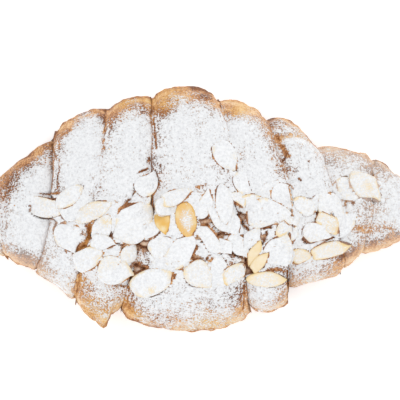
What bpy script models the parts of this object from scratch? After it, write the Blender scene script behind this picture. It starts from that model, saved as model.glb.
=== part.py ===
"""Almond croissant: rolled laminated dough, baked flat on a tray, with sliced almonds on its crest.

Run it with blender --background --python part.py, or from Blender's text editor.
Frame: +X runs along the roll, +Y points to its back and +Z up. The origin is at the centre of the
bounding box, on the plane that the croissant rests on. The object is one solid.
"""

from collections import namedtuple
from math import cos, pi, radians, sin, sqrt

import bpy
import numpy as np

MM = 0.001  # the tables below are in millimetres, and the meshes in metres

# Driving dimensions, in millimetres
HALF_LENGTH = 91.0  # from the middle to either tip
MIDLINE = 0.2  # how far the roll's own centre line lies behind the middle of its box
WAIST_SHARE = 0.33  # height of the widest line of a section, as a share of its top
TRAY_SINK = 1.2  # how far the round underside would reach below the tray that flattened it
TIP_HEIGHT = 9.0  # height of the two closed ends
GROOVE_DEPTH = 2.3  # how far a band dips where it tucks under its neighbour
GROOVE_REACH = 0.14  # share of the band that the dip takes
LIP_ROUND = 1.4  # rounding of the edge that a band shows over its neighbour
LIP_REACH = 0.12  # share of the band that the rounding takes
LIP_OVERHANG = 0.9  # how far that edge leans over the groove
OVERHANG_REACH = 0.2  # share of the band that leans with it
TUCK = 1.0  # how far the lower band slips under it
TUCK_REACH = 0.1  # share of the band that slips
LUMP = 0.55  # height of the broad unevenness of baked dough
SWELL_POWER = 2.4  # 2 is a parabola, and more is a flatter swell

# Section: superellipse powers of the domed top and of the flattened underside
DOME_POWER = 0.83
SOLE_POWER = 0.5

# One band of rolled dough. seam: x of its left seam at the front, front shoulder, crest, back
# shoulder and back. Each reach: its left end, its right end and the swell between them, measured
# from the centre line to the front and to the back, and from the tray to the top.
Band = namedtuple("Band", "seam front back top")
LEFT_TIP, RIGHT_TIP = (-HALF_LENGTH,) * 5, (HALF_LENGTH,) * 5
BANDS = (
    Band(LEFT_TIP, (19.0, 19.9, 0.0), (13.0, 13.5, 0.0), (19.0, 21.0, 0.0)),
    Band((-81.0, -81.6, -82.4, -82.4, -82.0), (20.3, 25.4, 0.8), (14.0, 28.9, 1.4), (23.0, 30.5, 2.0)),
    Band((-67.7, -64.8, -60.1, -60.3, -60.7), (26.9, 38.2, -1.6), (33.4, 41.2, 2.0), (33.5, 37.5, 2.0)),
    Band((-52.7, -50.6, -44.5, -39.3, -39.4), (39.6, 42.2, 1.8), (42.0, 46.3, 1.4), (39.5, 41.3, 1.6)),
    Band((-34.0, -29.8, -20.8, -19.9, -21.3), (42.6, 43.5, 6.8), (46.7, 45.9, 3.9), (43.2, 42.8, 2.2)),
    Band((20.6, 17.2, 15.8, 9.6, 6.6), (40.4, 39.2, 2.2), (44.9, 37.7, 2.7), (40.6, 38.6, 2.2)),
    Band((35.7, 35.0, 36.6, 28.9, 26.9), (33.0, 27.6, -1.0), (37.3, 27.4, 4.2), (36.3, 32.5, 2.2)),
    Band((57.8, 57.0, 53.4, 48.6, 45.8), (24.4, 20.3, 0.4), (26.0, 21.5, 1.6), (30.0, 25.0, 1.8)),
    Band((64.4, 66.0, 68.9, 70.5, 70.9), (18.9, 16.5, 0.0), (21.3, 12.0, 0.0), (23.0, 20.0, 0.0)),
)
LAST = len(BANDS) - 1
MIDDLE = 4  # the outermost turn of the roll, which laps over both of its neighbours

# The torn flap of dough at the front of one band: it grows to the right up to its corner, and stops short
EAR_BAND = 3
EAR_START, EAR_CORNER, EAR_END = 0.08, 0.68, 0.80
EAR_REACH = 5.2
# The crease near the back of one band, which climbs from its left seam to its right one
CREASE_BAND = 6
CREASE_START, CREASE_END, CREASE_HALF = radians(132), radians(153), radians(9)
CREASE_DEPTH = 1.4

# Resolution of the solid
BAND_STEPS = (0.0, 0.05, 0.14, 0.28, 0.45, 0.62, 0.80, 0.94, 1.0)
EAR_STEPS = (0.0, 0.05, 0.14, 0.26, 0.40, 0.54, 0.66, 0.71, 0.80, 0.94, 1.0)
TIP_STEPS = (0.0, 0.05, 0.16, 0.34, 0.58, 0.82, 1.0)
DOME_ROWS = 28
SOLE_ROWS = 6

# Sliced almonds
ALMOND_THICK = 0.95
ALMOND_ARCH = 0.9
ALMOND_SPOKES = 9
POINTED = 0.3  # how sharply one end of a slice narrows
LEAF = 0.9  # how sharply the other end does too, on slices narrower for their length than this share
LEAF_BELOW = 0.58
ALMOND_BITE = 0.3  # how deep a slice is set in what carries it
BURIED_SHARE = 0.12  # share of its footprint that may lie deeper than that
STEEPEST = 0.75  # largest slope at which a slice still lies
FEELERS = 24  # points felt round a slice on each of these rings
FEELER_RINGS = (0.15, 0.4, 0.6, 0.8, 0.95)

# The slices that stand out, in the order in which they fell: x, y, length, width and turn in degrees. A
# broken one ends at a straight line: the direction it faces, in degrees from the slice's length, and how
# far out it lies, as a share of the outline
Slice = namedtuple("Slice", "x y length width turn cut keep", defaults=(0, 2))
TOP_SLICES = (
    Slice(26.0, -1.5, 20.5, 12.0, 0, 180, 0.78),
    Slice(52.5, -1.5, 18.0, 9.5, -70),
    Slice(17.0, 10.0, 12.5, 7.5, -60, 70, 0.5),
    Slice(8.0, -2.0, 16.5, 10.5, -75),
    Slice(5.8, -24.0, 13.0, 10.0, 82),
    Slice(-19.5, -29.0, 19.5, 11.0, 15),
    Slice(-34.8, -24.8, 15.0, 12.0, -15),
    Slice(-53.3, -11.6, 14.5, 11.5, -60, 27, 0.66),
    Slice(-29.3, -17.2, 9.5, 6.5, 72),
    Slice(-15.7, -5.0, 10.5, 6.5, -78, 150, 0.8),
    Slice(-22.0, 10.8, 12.5, 9.0, 70, 30, 0.6),
    Slice(13.2, -26.0, 11.0, 8.5, 45, 250, 0.6),
    Slice(51.0, -5.5, 11.5, 8.5, -55, 130, 0.7),
    Slice(39.5, -19.0, 10.5, 6.5, 8, 180, 0.6),
    Slice(59.3, 7.6, 13.0, 9.0, -22, 200, 0.75),
    Slice(-62.3, 1.1, 16.5, 10.0, -16, 106, 0.7),
    Slice(-51.0, 1.6, 15.5, 10.5, 48),
    Slice(-53.2, 5.2, 14.0, 6.8, 41),
    Slice(-44.0, -1.0, 17.2, 7.5, 26),
    Slice(-28.0, -4.8, 21.0, 16.5, 45, 130, 0.74),
    Slice(-14.6, 0.8, 9.5, 7.0, -15),
    Slice(-11.0, 4.8, 15.5, 6.5, 18, 180, 0.7),
    Slice(1.0, 2.5, 13.0, 7.5, 75, 60, 0.55),
    Slice(-6.2, -4.9, 16.5, 8.2, -79),
    Slice(-8.4, -17.0, 16.5, 12.0, 50, 100, 0.75),
    Slice(-1.0, -26.5, 13.5, 10.5, -45),
    Slice(2.8, -12.6, 13.5, 9.0, -50, 260, 0.55),
    Slice(8.8, 2.0, 17.0, 7.4, -82),
    Slice(-45.8, -19.4, 13.0, 11.0, 20, 100, 0.75),
    Slice(31.0, -16.5, 16.0, 12.0, 65, 190, 0.75),
    Slice(20.3, -11.2, 9.5, 6.5, 55),
    Slice(21.3, -17.9, 11.5, 5.4, 66, 250, 0.55),
    Slice(22.9, -21.6, 12.0, 4.8, 45, 180, 0.65),
    Slice(26.0, -28.2, 17.0, 6.2, 0),
    Slice(46.4, -10.0, 11.5, 9.5, -10, 300, 0.65),
    Slice(51.8, -16.5, 18.5, 7.2, 14, 180, 0.8),
    Slice(66.9, 9.1, 16.5, 11.0, -50, 140, 0.74),
    Slice(41.0, 0.7, 12.0, 8.5, -15, 240, 0.55),
    Slice(-40.3, -13.2, 12.5, 6.2, -10, 180, 0.7),
    Slice(9.5, 21.2, 14.0, 9.0, -55),
)

# Hollows between the slices, in which none is strewn
POCKETS = ((-46, -10), (-49, -16), (-24, -15), (-26, -23), (-2.5, -20.5), (1, -5), (16, -3), (25, -11))

# The rest are strewn under and between them, the largest first, inside an ellipse on the crest
STREWN = 21
STREW_SEED = 4
STREW_CENTRE = (0.0, -9.0)
STREW_HALF = (58.0, 17.0)
STREW_TILT = 0.08  # how much the ellipse climbs towards the back, along +X
STREW_LENGTH = (14.0, 9.5)
STREW_WIDTH_SHARE = (0.56, 0.74)
STREW_TRIES = 14  # places tried for each slice, of which the emptiest is taken
STREW_KEEP = (0.45, 1.25)  # where they are broken, and above about 1 they are whole

# The height map that the slices are laid on: square cells, felt along and round each band
CELL = 1.0
MAP_HALF = (100, 60)
FELT_ALONG, FELT_ROUND = 70, 300

CRUST_COLOUR = (0.64, 0.37, 0.19, 1.0)
SUGAR_COLOUR = (0.86, 0.87, 0.89, 1.0)
ALMOND_COLOUR = (0.84, 0.66, 0.40, 1.0)
CRUST_SLOT, SUGAR_SLOT, ALMOND_SLOT = range(3)
SUGARED_LOOK_UP = 0.55  # a crust face that looks up more than this carries icing sugar


def through_knots(knots, share):
    """Catmull-Rom curve through equally spaced knots, with share 0 at the first and 1 at the last."""
    knots = np.asarray(knots, float)
    padded = np.concatenate([[2 * knots[0] - knots[1]], knots, [2 * knots[-1] - knots[-2]]])
    place = np.clip(share, 0, 1) * (len(knots) - 1)
    cell = np.minimum(place.astype(int), len(knots) - 2)
    u = place - cell
    before, start, end, after = (padded[cell + step] for step in range(4))
    slope_in, slope_out, chord = (end - before) / 2, (after - start) / 2, end - start
    bend = 3 * chord - 2 * slope_in - slope_out
    return start + u * (slope_in + u * (bend + u * (slope_in + slope_out - 2 * chord)))


def seam_line(knots, angle):
    """x of a seam round the section: through its knots over the dome, and smoothly back under the sole."""
    over = through_knots(knots, angle / pi)
    under = np.clip(angle / pi - 1, 0, 1)
    under = under * under * (3 - 2 * under)
    x = np.where(angle <= pi, over, knots[-1] + (knots[0] - knots[-1]) * under)
    crest = knots[2]
    ripple = 0.45 * np.sin(5 * angle + crest) + 0.3 * np.sin(11 * angle + 2 * crest)
    return x + (ripple * np.abs(np.sin(angle)) if abs(crest) < HALF_LENGTH else 0)


def reach_along(reach, t):
    """Reach of a band at t: straight between its ends, with its swell on top."""
    left, right, swell = reach
    return left + (right - left) * t + swell * (1 - np.abs(2 * t - 1) ** SWELL_POWER)


def lumps(x, angle):
    """Broad, smooth unevenness from -1 to 1, as sines of different pitch along and round the roll."""
    return (
        0.5 * np.sin(0.21 * x + 2.3 * np.sin(angle)) * np.sin(2.0 * angle + 0.7)
        + 0.3 * np.sin(0.43 * x + 1.9 + 3.1 * np.cos(angle))
        + 0.2 * np.sin(0.71 * x - 4.7 * np.cos(angle))
    )


def ear_reach(t):
    """How far the torn flap sticks out at t: a straight rise to its corner, and a steep fall after it."""
    rising = (t - EAR_START) / (EAR_CORNER - EAR_START)
    falling = (EAR_END - t) / (EAR_END - EAR_CORNER)
    return EAR_REACH * np.clip(np.minimum(rising, falling), 0, 1)


def edge_relief(band, t):
    """(height, lean) of a band's two seam edges. The edge away from the middle is a rounded lip that
    leans outwards, and the edge towards it dips and slips under the neighbour."""
    height, lean = np.zeros_like(t), np.zeros_like(t)
    for outward, from_edge in ((-1, t), (1, 1 - t)):
        is_tip = (band == 0 and outward == -1) or (band == LAST and outward == 1)
        if is_tip:
            continue
        if (band - MIDDLE) * outward >= 0:
            u = np.clip(1 - from_edge / LIP_REACH, 0, 1)
            height -= LIP_ROUND * (1 - np.sqrt(1 - u * u))
            lean += outward * LIP_OVERHANG * np.clip(1 - from_edge / OVERHANG_REACH, 0, 1) ** 2
        else:
            height -= GROOVE_DEPTH * np.clip(1 - from_edge / GROOVE_REACH, 0, 1) ** 2
            lean += outward * TUCK * np.clip(1 - from_edge / TUCK_REACH, 0, 1)
    return height, lean


def band_surface(band, t, angle):
    """Points of one band, in millimetres, for arrays t (0 to 1 along it) and angle (0 at the front, a
    quarter turn at the crest, half a turn at the back, then on under the sole)."""
    this = BANDS[band]
    next_seam = BANDS[band + 1].seam if band < LAST else RIGHT_TIP
    front, back, top = (reach_along(reach, t) for reach in (this.front, this.back, this.top))
    cosine, sine = np.cos(angle), np.sin(angle)
    if band == EAR_BAND:
        front = front + ear_reach(t) * np.clip(cosine, 0, 1)
    relief, lean = edge_relief(band, t)
    start, end = seam_line(this.seam, angle), seam_line(next_seam, angle)
    x = start + (end - start) * t + lean

    power = np.where(angle <= pi, DOME_POWER, SOLE_POWER)
    across = np.sign(cosine) * np.abs(cosine) ** power
    upward = np.sign(sine) * np.abs(sine) ** power
    raised = relief + LUMP * lumps(x, angle) * np.clip(upward + 0.3, 0, 1)
    if band == CREASE_BAND:
        crease = CREASE_START + (CREASE_END - CREASE_START) * t
        fold = np.clip(1 - np.abs(angle - crease) / CREASE_HALF, 0, 1)
        raised = raised - CREASE_DEPTH * fold * np.clip(8 * t * (1 - t), 0, 1)
    centre = (back - front) / 2 - MIDLINE
    y = centre - ((front + back) / 2 + raised) * across
    waist = WAIST_SHARE * top
    z = waist + np.where(angle <= pi, top + raised - waist, waist + TRAY_SINK) * upward
    if band in (0, LAST):
        from_tip = np.clip(t if band == 0 else 1 - t, 0, 1)
        closing = np.sqrt(1 - (1 - from_tip) ** 2)
        y = centre + (y - centre) * closing
        z = TIP_HEIGHT + (z - TIP_HEIGHT) * closing
    return np.stack(np.broadcast_arrays(x, y, np.maximum(z, 0)), axis=-1)


def dough_mesh():
    """(points, faces) of the bare roll: a grid of columns along it and rows round it, with both tips closed."""
    dome = np.linspace(0, pi, DOME_ROWS, endpoint=False)
    sole = np.linspace(pi, 2 * pi, SOLE_ROWS, endpoint=False)
    angles = np.concatenate([dome, sole])
    steps = {0: TIP_STEPS, EAR_BAND: EAR_STEPS, LAST: [1 - step for step in TIP_STEPS[::-1]]}
    columns = [
        band_surface(band, np.full_like(angles, t), angles)
        for band in range(len(BANDS))
        for t in steps.get(band, BAND_STEPS)
    ]
    grid = np.array(columns[1:-1])
    n_columns, n_rows = grid.shape[:2]
    tips = np.array([columns[0].mean(axis=0), columns[-1].mean(axis=0)])
    points = np.concatenate([grid.reshape(-1, 3), tips])
    here = np.arange(n_rows)
    following = (here + 1) % n_rows
    faces = []
    for first in range(0, (n_columns - 1) * n_rows, n_rows):
        there = first + n_rows
        quads = [first + here, there + here, there + following, first + following]
        faces += np.stack(quads, axis=1).tolist()
    left_tip, right_tip = n_columns * n_rows, n_columns * n_rows + 1
    last = (n_columns - 1) * n_rows
    faces += [(left_tip, int(a), int(b)) for a, b in zip(here, following)]
    faces += [(right_tip, last + int(b), last + int(a)) for a, b in zip(here, following)]
    return points, faces


def cell_of(x, y):
    """Indices of the height map's cell at x, y."""
    indices = []
    for value, half in zip((x, y), MAP_HALF):
        indices.append(np.clip(np.floor(value / CELL).astype(int) + half, 0, 2 * half - 1))
    return tuple(indices)


def height_map():
    """Top of the bare roll over a grid of square cells, in millimetres."""
    top = np.zeros((2 * MAP_HALF[0], 2 * MAP_HALF[1]))
    t, angle = np.meshgrid(np.linspace(0, 1, FELT_ALONG), np.linspace(0, pi, FELT_ROUND), indexing="ij")
    for band in range(len(BANDS)):
        points = band_surface(band, t, angle).reshape(-1, 3)
        np.maximum.at(top, cell_of(points[:, 0], points[:, 1]), points[:, 2])
    return top


def strewn_slices():
    """The smaller slices, evenly spread: each takes the place, of a few seeded ones, that lies farthest
    from the slices already there."""
    random = np.random.default_rng(STREW_SEED)
    taken = np.array([*POCKETS, *((almond.x, almond.y) for almond in TOP_SLICES)])
    strewn = []
    for length in np.linspace(*STREW_LENGTH, STREWN):
        out = np.sqrt(random.uniform(0, 1, STREW_TRIES))
        around = random.uniform(0, 2 * pi, STREW_TRIES)
        x = STREW_CENTRE[0] + STREW_HALF[0] * out * np.cos(around)
        y = STREW_CENTRE[1] + STREW_HALF[1] * out * np.sin(around) + STREW_TILT * x
        room = np.hypot(x[:, None] - taken[:, 0], y[:, None] - taken[:, 1]).min(axis=1)
        best = room.argmax()
        width = length * random.uniform(*STREW_WIDTH_SHARE)
        turn, cut, keep = random.uniform(-90, 90), random.uniform(0, 360), random.uniform(*STREW_KEEP)
        strewn.append(Slice(x[best], y[best], length, width, turn, cut, keep))
        taken = np.vstack([taken, (x[best], y[best])])
    return strewn


def slimness(almond, cosine):
    """Width of a slice beside that of an ellipse: less towards its pointed end, and towards the other one
    too on narrow slices, and 1 where the slice is widest."""
    p, q = POINTED, LEAF * max(LEAF_BELOW - almond.width / almond.length, 0)
    widest = (q - p) / (1 + p + q)
    full = sqrt(1 - widest**2) * (1 - widest) ** p * (1 + widest) ** q
    return (1 - cosine) ** p * (1 + cosine) ** q / full


def slice_outline(almond, spokes, ring):
    """Offsets (along, across) of one ring of a slice, ring 1 being its edge: an ellipse, slimmed, and moved
    back to the straight line where the slice is broken."""
    angle = np.arange(spokes) * 2 * pi / spokes
    u, v = np.cos(angle), np.sin(angle) * slimness(almond, np.cos(angle))
    facing = cos(radians(almond.cut)), sin(radians(almond.cut))
    beyond = np.maximum(u * facing[0] + v * facing[1] - almond.keep, 0)
    along = almond.length / 2 * (u - beyond * facing[0]) * ring
    across = almond.width / 2 * (v - beyond * facing[1]) * ring
    return along, across


def slice_arch(almond, along, across):
    """Height of an arched slice over its own plane."""
    share = (2 * along / almond.length) ** 2 + 0.5 * (2 * across / almond.width) ** 2
    return ALMOND_ARCH * (0.5 - share)


def turned(almond, along, across):
    """Offsets along x and y of offsets along and across a slice."""
    turn = radians(almond.turn)
    return along * cos(turn) - across * sin(turn), along * sin(turn) + across * cos(turn)


def lay_slice(almond, top):
    """Rests a slice on the height map: a plane through what is beneath, raised until the slice only bites.
    Adds the slice to the map, and returns its plane: height at the centre, and slopes along x and y."""
    rings = [slice_outline(almond, FEELERS, ring) for ring in FEELER_RINGS]
    along, across = (np.concatenate([ring[side] for ring in rings]) for side in (0, 1))
    dx, dy = turned(almond, along, across)
    arch = slice_arch(almond, along, across)
    cells = cell_of(almond.x + dx, almond.y + dy)
    below = top[cells] - arch
    sides = np.stack([np.ones_like(dx), dx, dy], axis=1)
    slope_x, slope_y = np.linalg.lstsq(sides, below, rcond=None)[0][1:]
    ease = min(1, STEEPEST / max(np.hypot(slope_x, slope_y), STEEPEST))
    slope_x, slope_y = slope_x * ease, slope_y * ease
    level = np.quantile(below - slope_x * dx - slope_y * dy, 1 - BURIED_SHARE) - ALMOND_BITE
    np.maximum.at(top, cells, level + slope_x * dx + slope_y * dy + arch + ALMOND_THICK)
    return level, slope_x, slope_y


def slice_mesh(almond, plane):
    """(points, faces) of a slice on its plane. Both faces are fans with the same spokes."""
    level, slope_x, slope_y = plane
    along, across = (np.append(side, 0) for side in slice_outline(almond, ALMOND_SPOKES, 1))
    dx, dy = turned(almond, along, across)
    z = level + slope_x * dx + slope_y * dy + slice_arch(almond, along, across)
    lower = np.stack([almond.x + dx, almond.y + dy, z], axis=1)
    normal = np.array([-slope_x, -slope_y, 1.0]) / np.sqrt(1 + slope_x**2 + slope_y**2)
    points = np.concatenate([lower, lower + ALMOND_THICK * normal])
    centre, upper = ALMOND_SPOKES, ALMOND_SPOKES + 1
    faces = []
    for a in range(ALMOND_SPOKES):
        b = (a + 1) % ALMOND_SPOKES
        faces += [(centre, b, a), (upper + centre, upper + a, upper + b)]
        faces += [(a, b, upper + b), (a, upper + b, upper + a)]
    return points, faces


def finish(name, colour, roughness):
    """A Principled material in one of the croissant's colours."""
    material = bpy.data.materials.new(name)
    material.use_nodes = True
    shader = material.node_tree.nodes["Principled BSDF"]
    shader.inputs["Base Color"].default_value = colour
    shader.inputs["Roughness"].default_value = roughness
    shader.inputs["Metallic"].default_value = 0.0
    material.diffuse_color = colour
    return material


def mesh_object(name, points, faces, finishes, slots, collection):
    """Adds a mesh given in millimetres to a collection. slots gives each face its finish."""
    mesh = bpy.data.meshes.new(name)
    mesh.from_pydata((np.asarray(points) * MM).tolist(), [], faces)
    for material in finishes:
        mesh.materials.append(material)
    mesh.polygons.foreach_set("material_index", slots)
    mesh.update()
    made = bpy.data.objects.new(name, mesh)
    collection.objects.link(made)
    return made


def shell_labels(mesh):
    """Label of the connected shell that each vertex belongs to: labels spread along the edges until each
    shell has one, the lowest."""
    edges = np.empty(len(mesh.edges) * 2, np.int32)
    mesh.edges.foreach_get("vertices", edges)
    edges = edges.reshape(-1, 2)
    label = np.arange(len(mesh.vertices))
    while True:
        lowest = label[edges].min(axis=1)
        spread = label.copy()
        np.minimum.at(spread, edges[:, 0], lowest)
        np.minimum.at(spread, edges[:, 1], lowest)
        if (spread == label).all():
            return label
        label = spread


def largest_shell(mesh):
    """(points, faces, slots) of the largest shell, without loose scraps and the walls of sealed hollows."""
    label = shell_labels(mesh)
    shells, sizes = np.unique(label, return_counts=True)
    keep = label == shells[sizes.argmax()]
    number = np.cumsum(keep) - 1
    points = np.array([vertex.co for vertex in mesh.vertices])[keep] / MM
    kept = [face for face in mesh.polygons if keep[face.vertices[0]]]
    faces = [[int(number[v]) for v in face.vertices] for face in kept]
    return points, faces, [face.material_index for face in kept]


def fuse(dough, almonds):
    """Joins the slices to the dough in one union, applies it and removes the loose slices."""
    union = dough.modifiers.new("almonds", "BOOLEAN")
    union.operation = "UNION"
    union.operand_type = "COLLECTION"
    union.collection = almonds
    union.solver = "EXACT"
    evaluated = dough.evaluated_get(bpy.context.evaluated_depsgraph_get())
    joined = bpy.data.meshes.new_from_object(evaluated)
    for loose in [dough, *almonds.objects]:
        bpy.data.objects.remove(loose)
    bpy.data.collections.remove(almonds)
    return joined


def main():
    for old in list(bpy.data.objects):
        bpy.data.objects.remove(old)
    scene = bpy.context.scene.collection
    finishes = [
        finish("baked_crust", CRUST_COLOUR, 0.6),
        finish("icing_sugar", SUGAR_COLOUR, 0.95),
        finish("almond", ALMOND_COLOUR, 0.55),
    ]

    points, faces = dough_mesh()
    dough = mesh_object("dough", points, faces, finishes, [CRUST_SLOT] * len(faces), scene)
    almonds = bpy.data.collections.new("almonds")
    scene.children.link(almonds)
    top = height_map()
    for number, almond in enumerate([*strewn_slices(), *TOP_SLICES]):
        points, faces = slice_mesh(almond, lay_slice(almond, top))
        mesh_object(f"slice_{number:02d}", points, faces, finishes, [ALMOND_SLOT] * len(faces), almonds)
    bpy.context.view_layer.update()

    points, faces, slots = largest_shell(fuse(dough, almonds))
    croissant = mesh_object("croissant", points, faces, finishes, slots, scene)
    for face in croissant.data.polygons:
        if face.material_index == CRUST_SLOT and face.normal.z > SUGARED_LOOK_UP:
            face.material_index = SUGAR_SLOT


main()
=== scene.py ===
# %% [markdown]
# # Dressing an almond croissant
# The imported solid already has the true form: a roll of nine bands, flat underneath, with sliced
# almonds on its crest. This lesson gives it what a solid of that size can't hold: flaky edges,
# browned crust, a drift of icing sugar, and almonds with thin edges and toasted tones.
# The first cell loads the solid and keeps its box, to measure the dressed croissant against.

from collections import namedtuple
from math import pi

import bpy
import numpy as np
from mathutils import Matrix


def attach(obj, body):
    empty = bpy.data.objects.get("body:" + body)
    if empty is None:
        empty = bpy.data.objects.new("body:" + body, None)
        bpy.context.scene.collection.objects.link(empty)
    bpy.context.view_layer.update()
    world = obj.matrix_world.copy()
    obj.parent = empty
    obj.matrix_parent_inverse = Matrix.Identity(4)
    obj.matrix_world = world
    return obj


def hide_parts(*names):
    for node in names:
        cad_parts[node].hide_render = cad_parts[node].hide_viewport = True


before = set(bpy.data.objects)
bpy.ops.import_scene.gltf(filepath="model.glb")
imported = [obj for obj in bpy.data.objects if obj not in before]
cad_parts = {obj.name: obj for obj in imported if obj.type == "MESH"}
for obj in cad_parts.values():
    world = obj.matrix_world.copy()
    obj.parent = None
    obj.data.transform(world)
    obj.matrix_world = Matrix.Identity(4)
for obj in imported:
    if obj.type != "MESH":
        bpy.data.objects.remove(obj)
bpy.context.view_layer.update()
MM = 0.001  # the lesson's tables are in millimetres, and Blender's meshes in metres

# %% [markdown]
# ## Arrays into meshes
# Every piece below is worked out as whole arrays with numpy and handed to Blender at once. It could
# be done vertex by vertex with bmesh, but a loop over 80,000 vertices is slow to run and hard to
# read. foreach_set copies an array straight into the mesh, for places, faces and attributes alike.

# %% A mesh from arrays
def mesh_from(name, points, faces, attributes=None, grain=None):
    """A mesh object from points in millimetres and an array of faces with equal numbers of corners.
    attributes are one value for each point, and grain is a UV pair for each point."""
    mesh = bpy.data.meshes.new(name)
    faces = np.ascontiguousarray(faces, dtype=np.int32)
    corners = faces.shape[1]
    mesh.vertices.add(len(points))
    mesh.vertices.foreach_set("co", np.asarray(points * MM, dtype=np.float32).ravel())
    mesh.loops.add(faces.size)
    mesh.loops.foreach_set("vertex_index", faces.ravel())
    mesh.polygons.add(len(faces))
    mesh.polygons.foreach_set("loop_start", np.arange(len(faces), dtype=np.int32) * corners)
    mesh.polygons.foreach_set("use_smooth", np.ones(len(faces), dtype=bool))
    for key, values in (attributes or {}).items():
        layer = mesh.attributes.new(key, "FLOAT", "POINT")
        layer.data.foreach_set("value", np.asarray(values, dtype=np.float32).ravel())
    if grain is not None:
        layer = mesh.uv_layers.new(name="grain")
        layer.data.foreach_set("uv", np.asarray(grain, dtype=np.float32)[faces.ravel()].ravel())
    mesh.update(calc_edges=True)
    mesh.validate()
    piece = bpy.data.objects.new(name, mesh)
    bpy.context.scene.collection.objects.link(piece)
    print(name, len(points), "points,", len(faces) * (corners - 2), "triangles")
    return piece


def smooth(low, high, value):
    """0 below low, 1 above high, and the curve 3u^2 - 2u^3 between them. Where low is the greater
    one, it falls from 1 to 0 instead."""
    u = np.clip((value - low) / (high - low), 0, 1)
    return u * u * (3 - 2 * u)


print("the smooth curve at a quarter, half and three quarters:", smooth(0, 4, np.array([1, 2, 3])))

# %% [markdown]
# ## Unevenness
# Baked dough and sieved sugar are uneven at every size. Blender's Displace modifier could do it,
# but then the shape would not be known to the almonds that lie on it. So the noise is ours: random
# values at the corners of cubes, eased from corner to corner.

# %% Smooth noise
LATTICE_SIZE, OCTAVE_FADE = 4096, 0.55
LATTICE = np.random.default_rng(7).uniform(-1, 1, LATTICE_SIZE)
MIXERS, SEED_MIXER = (73856093, 19349663, 83492791), 83492


def noise(points, cell, seed=0):
    """Smooth noise from -1 to 1: each cube corner has a random value, found by mixing its three
    integers, and inside the cube the eight are averaged with weights 3u^2 - 2u^3 along each side."""
    place = points / cell
    corner = np.floor(place).astype(np.int64)
    weight = smooth(0, 1, place - corner)
    total = 0
    for step in np.ndindex(2, 2, 2):
        mixed = seed * SEED_MIXER
        share = 1
        for axis in range(3):
            mixed = mixed ^ ((corner[..., axis] + step[axis]) * MIXERS[axis])
            share = share * (weight[..., axis] if step[axis] else 1 - weight[..., axis])
        total = total + share * LATTICE[mixed % LATTICE_SIZE]
    return total


def rough(points, cell, octaves, seed=0):
    """Noise on noise: each octave is half as wide and 0.55 times as strong as the one before."""
    return sum(noise(points, cell / 2**i, seed + i) * OCTAVE_FADE**i for i in range(octaves))


print("noise along a line:", noise(np.linspace((0, 0, 0), (3, 0, 0), 7), 1.0).round(2))

# %% [markdown]
# ## The roll
# A croissant is a triangle of dough rolled up from its wide side, so the roll is a row of bands:
# the middle one is the last turn and laps over its neighbours, which lap over theirs. The table
# repeats the solid's own dimensions. Each band has its seam, as x at five places round the section,
# and its reach to the front, to the back and up, as left end, right end and the swell between.

# %% Dimensions of the roll, in millimetres
HALF_LENGTH = 91.0
MIDLINE = 0.2
WAIST_SHARE = 0.33
TRAY_SINK = 1.2
TIP_HEIGHT = 9.0
GROOVE_DEPTH, GROOVE_REACH = 2.3, 0.14
LIP_ROUND, LIP_REACH = 1.4, 0.12
LIP_OVERHANG, OVERHANG_REACH = 0.9, 0.2
TUCK, TUCK_REACH = 1.0, 0.1
LUMP, LUMP_BELOW = 0.55, 0.3  # the unevenness fades out this share below the waist
SWELL_POWER, DOME_POWER, SOLE_POWER = 2.4, 0.83, 0.5
MIDDLE = 4

Band = namedtuple("Band", "seam front back top")
LEFT_TIP, RIGHT_TIP = (-HALF_LENGTH,) * 5, (HALF_LENGTH,) * 5
BANDS = (
    Band(LEFT_TIP, (19.0, 19.9, 0.0), (13.0, 13.5, 0.0), (19.0, 21.0, 0.0)),
    Band((-81.0, -81.6, -82.4, -82.4, -82.0), (20.3, 25.4, 0.8), (14.0, 28.9, 1.4), (23.0, 30.5, 2.0)),
    Band((-67.7, -64.8, -60.1, -60.3, -60.7), (26.9, 38.2, -1.6), (33.4, 41.2, 2.0), (33.5, 37.5, 2.0)),
    Band((-52.7, -50.6, -44.5, -39.3, -39.4), (39.6, 42.2, 1.8), (42.0, 46.3, 1.4), (39.5, 41.3, 1.6)),
    Band((-34.0, -29.8, -20.8, -19.9, -21.3), (42.6, 43.5, 6.8), (46.7, 45.9, 3.9), (43.2, 42.8, 2.2)),
    Band((20.6, 17.2, 15.8, 9.6, 6.6), (40.4, 39.2, 2.2), (44.9, 37.7, 2.7), (40.6, 38.6, 2.2)),
    Band((35.7, 35.0, 36.6, 28.9, 26.9), (33.0, 27.6, -1.0), (37.3, 27.4, 4.2), (36.3, 32.5, 2.2)),
    Band((57.8, 57.0, 53.4, 48.6, 45.8), (24.4, 20.3, 0.4), (26.0, 21.5, 1.6), (30.0, 25.0, 1.8)),
    Band((64.4, 66.0, 68.9, 70.5, 70.9), (18.9, 16.5, 0.0), (21.3, 12.0, 0.0), (23.0, 20.0, 0.0)),
)
LAST = len(BANDS) - 1
EAR_BAND, EAR_START, EAR_CORNER, EAR_END, EAR_REACH = 3, 0.08, 0.68, 0.80, 5.2
CREASE_BAND, CREASE_DEPTH, CREASE_EASE = 6, 1.4, 8
CREASE_START, CREASE_END, CREASE_HALF = np.radians((132, 153, 9))
print(len(BANDS), "bands over", 2 * HALF_LENGTH, "mm")

# %% [markdown]
# ## Seams and swells
# A seam wanders round the section, and a band swells between its two seams. Each could be drawn as
# a curve by hand, but a formula through a few measured knots is shorter and easy to change. A seam
# is a smooth line through five knots with a small ripple, and a swell is one power of the place.

# %% Seams, swells, lumps and the torn flap
RIPPLES = ((0.45, 5, 1), (0.3, 11, 2))  # size in mm, waves round the section, shift from seam to seam


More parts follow.
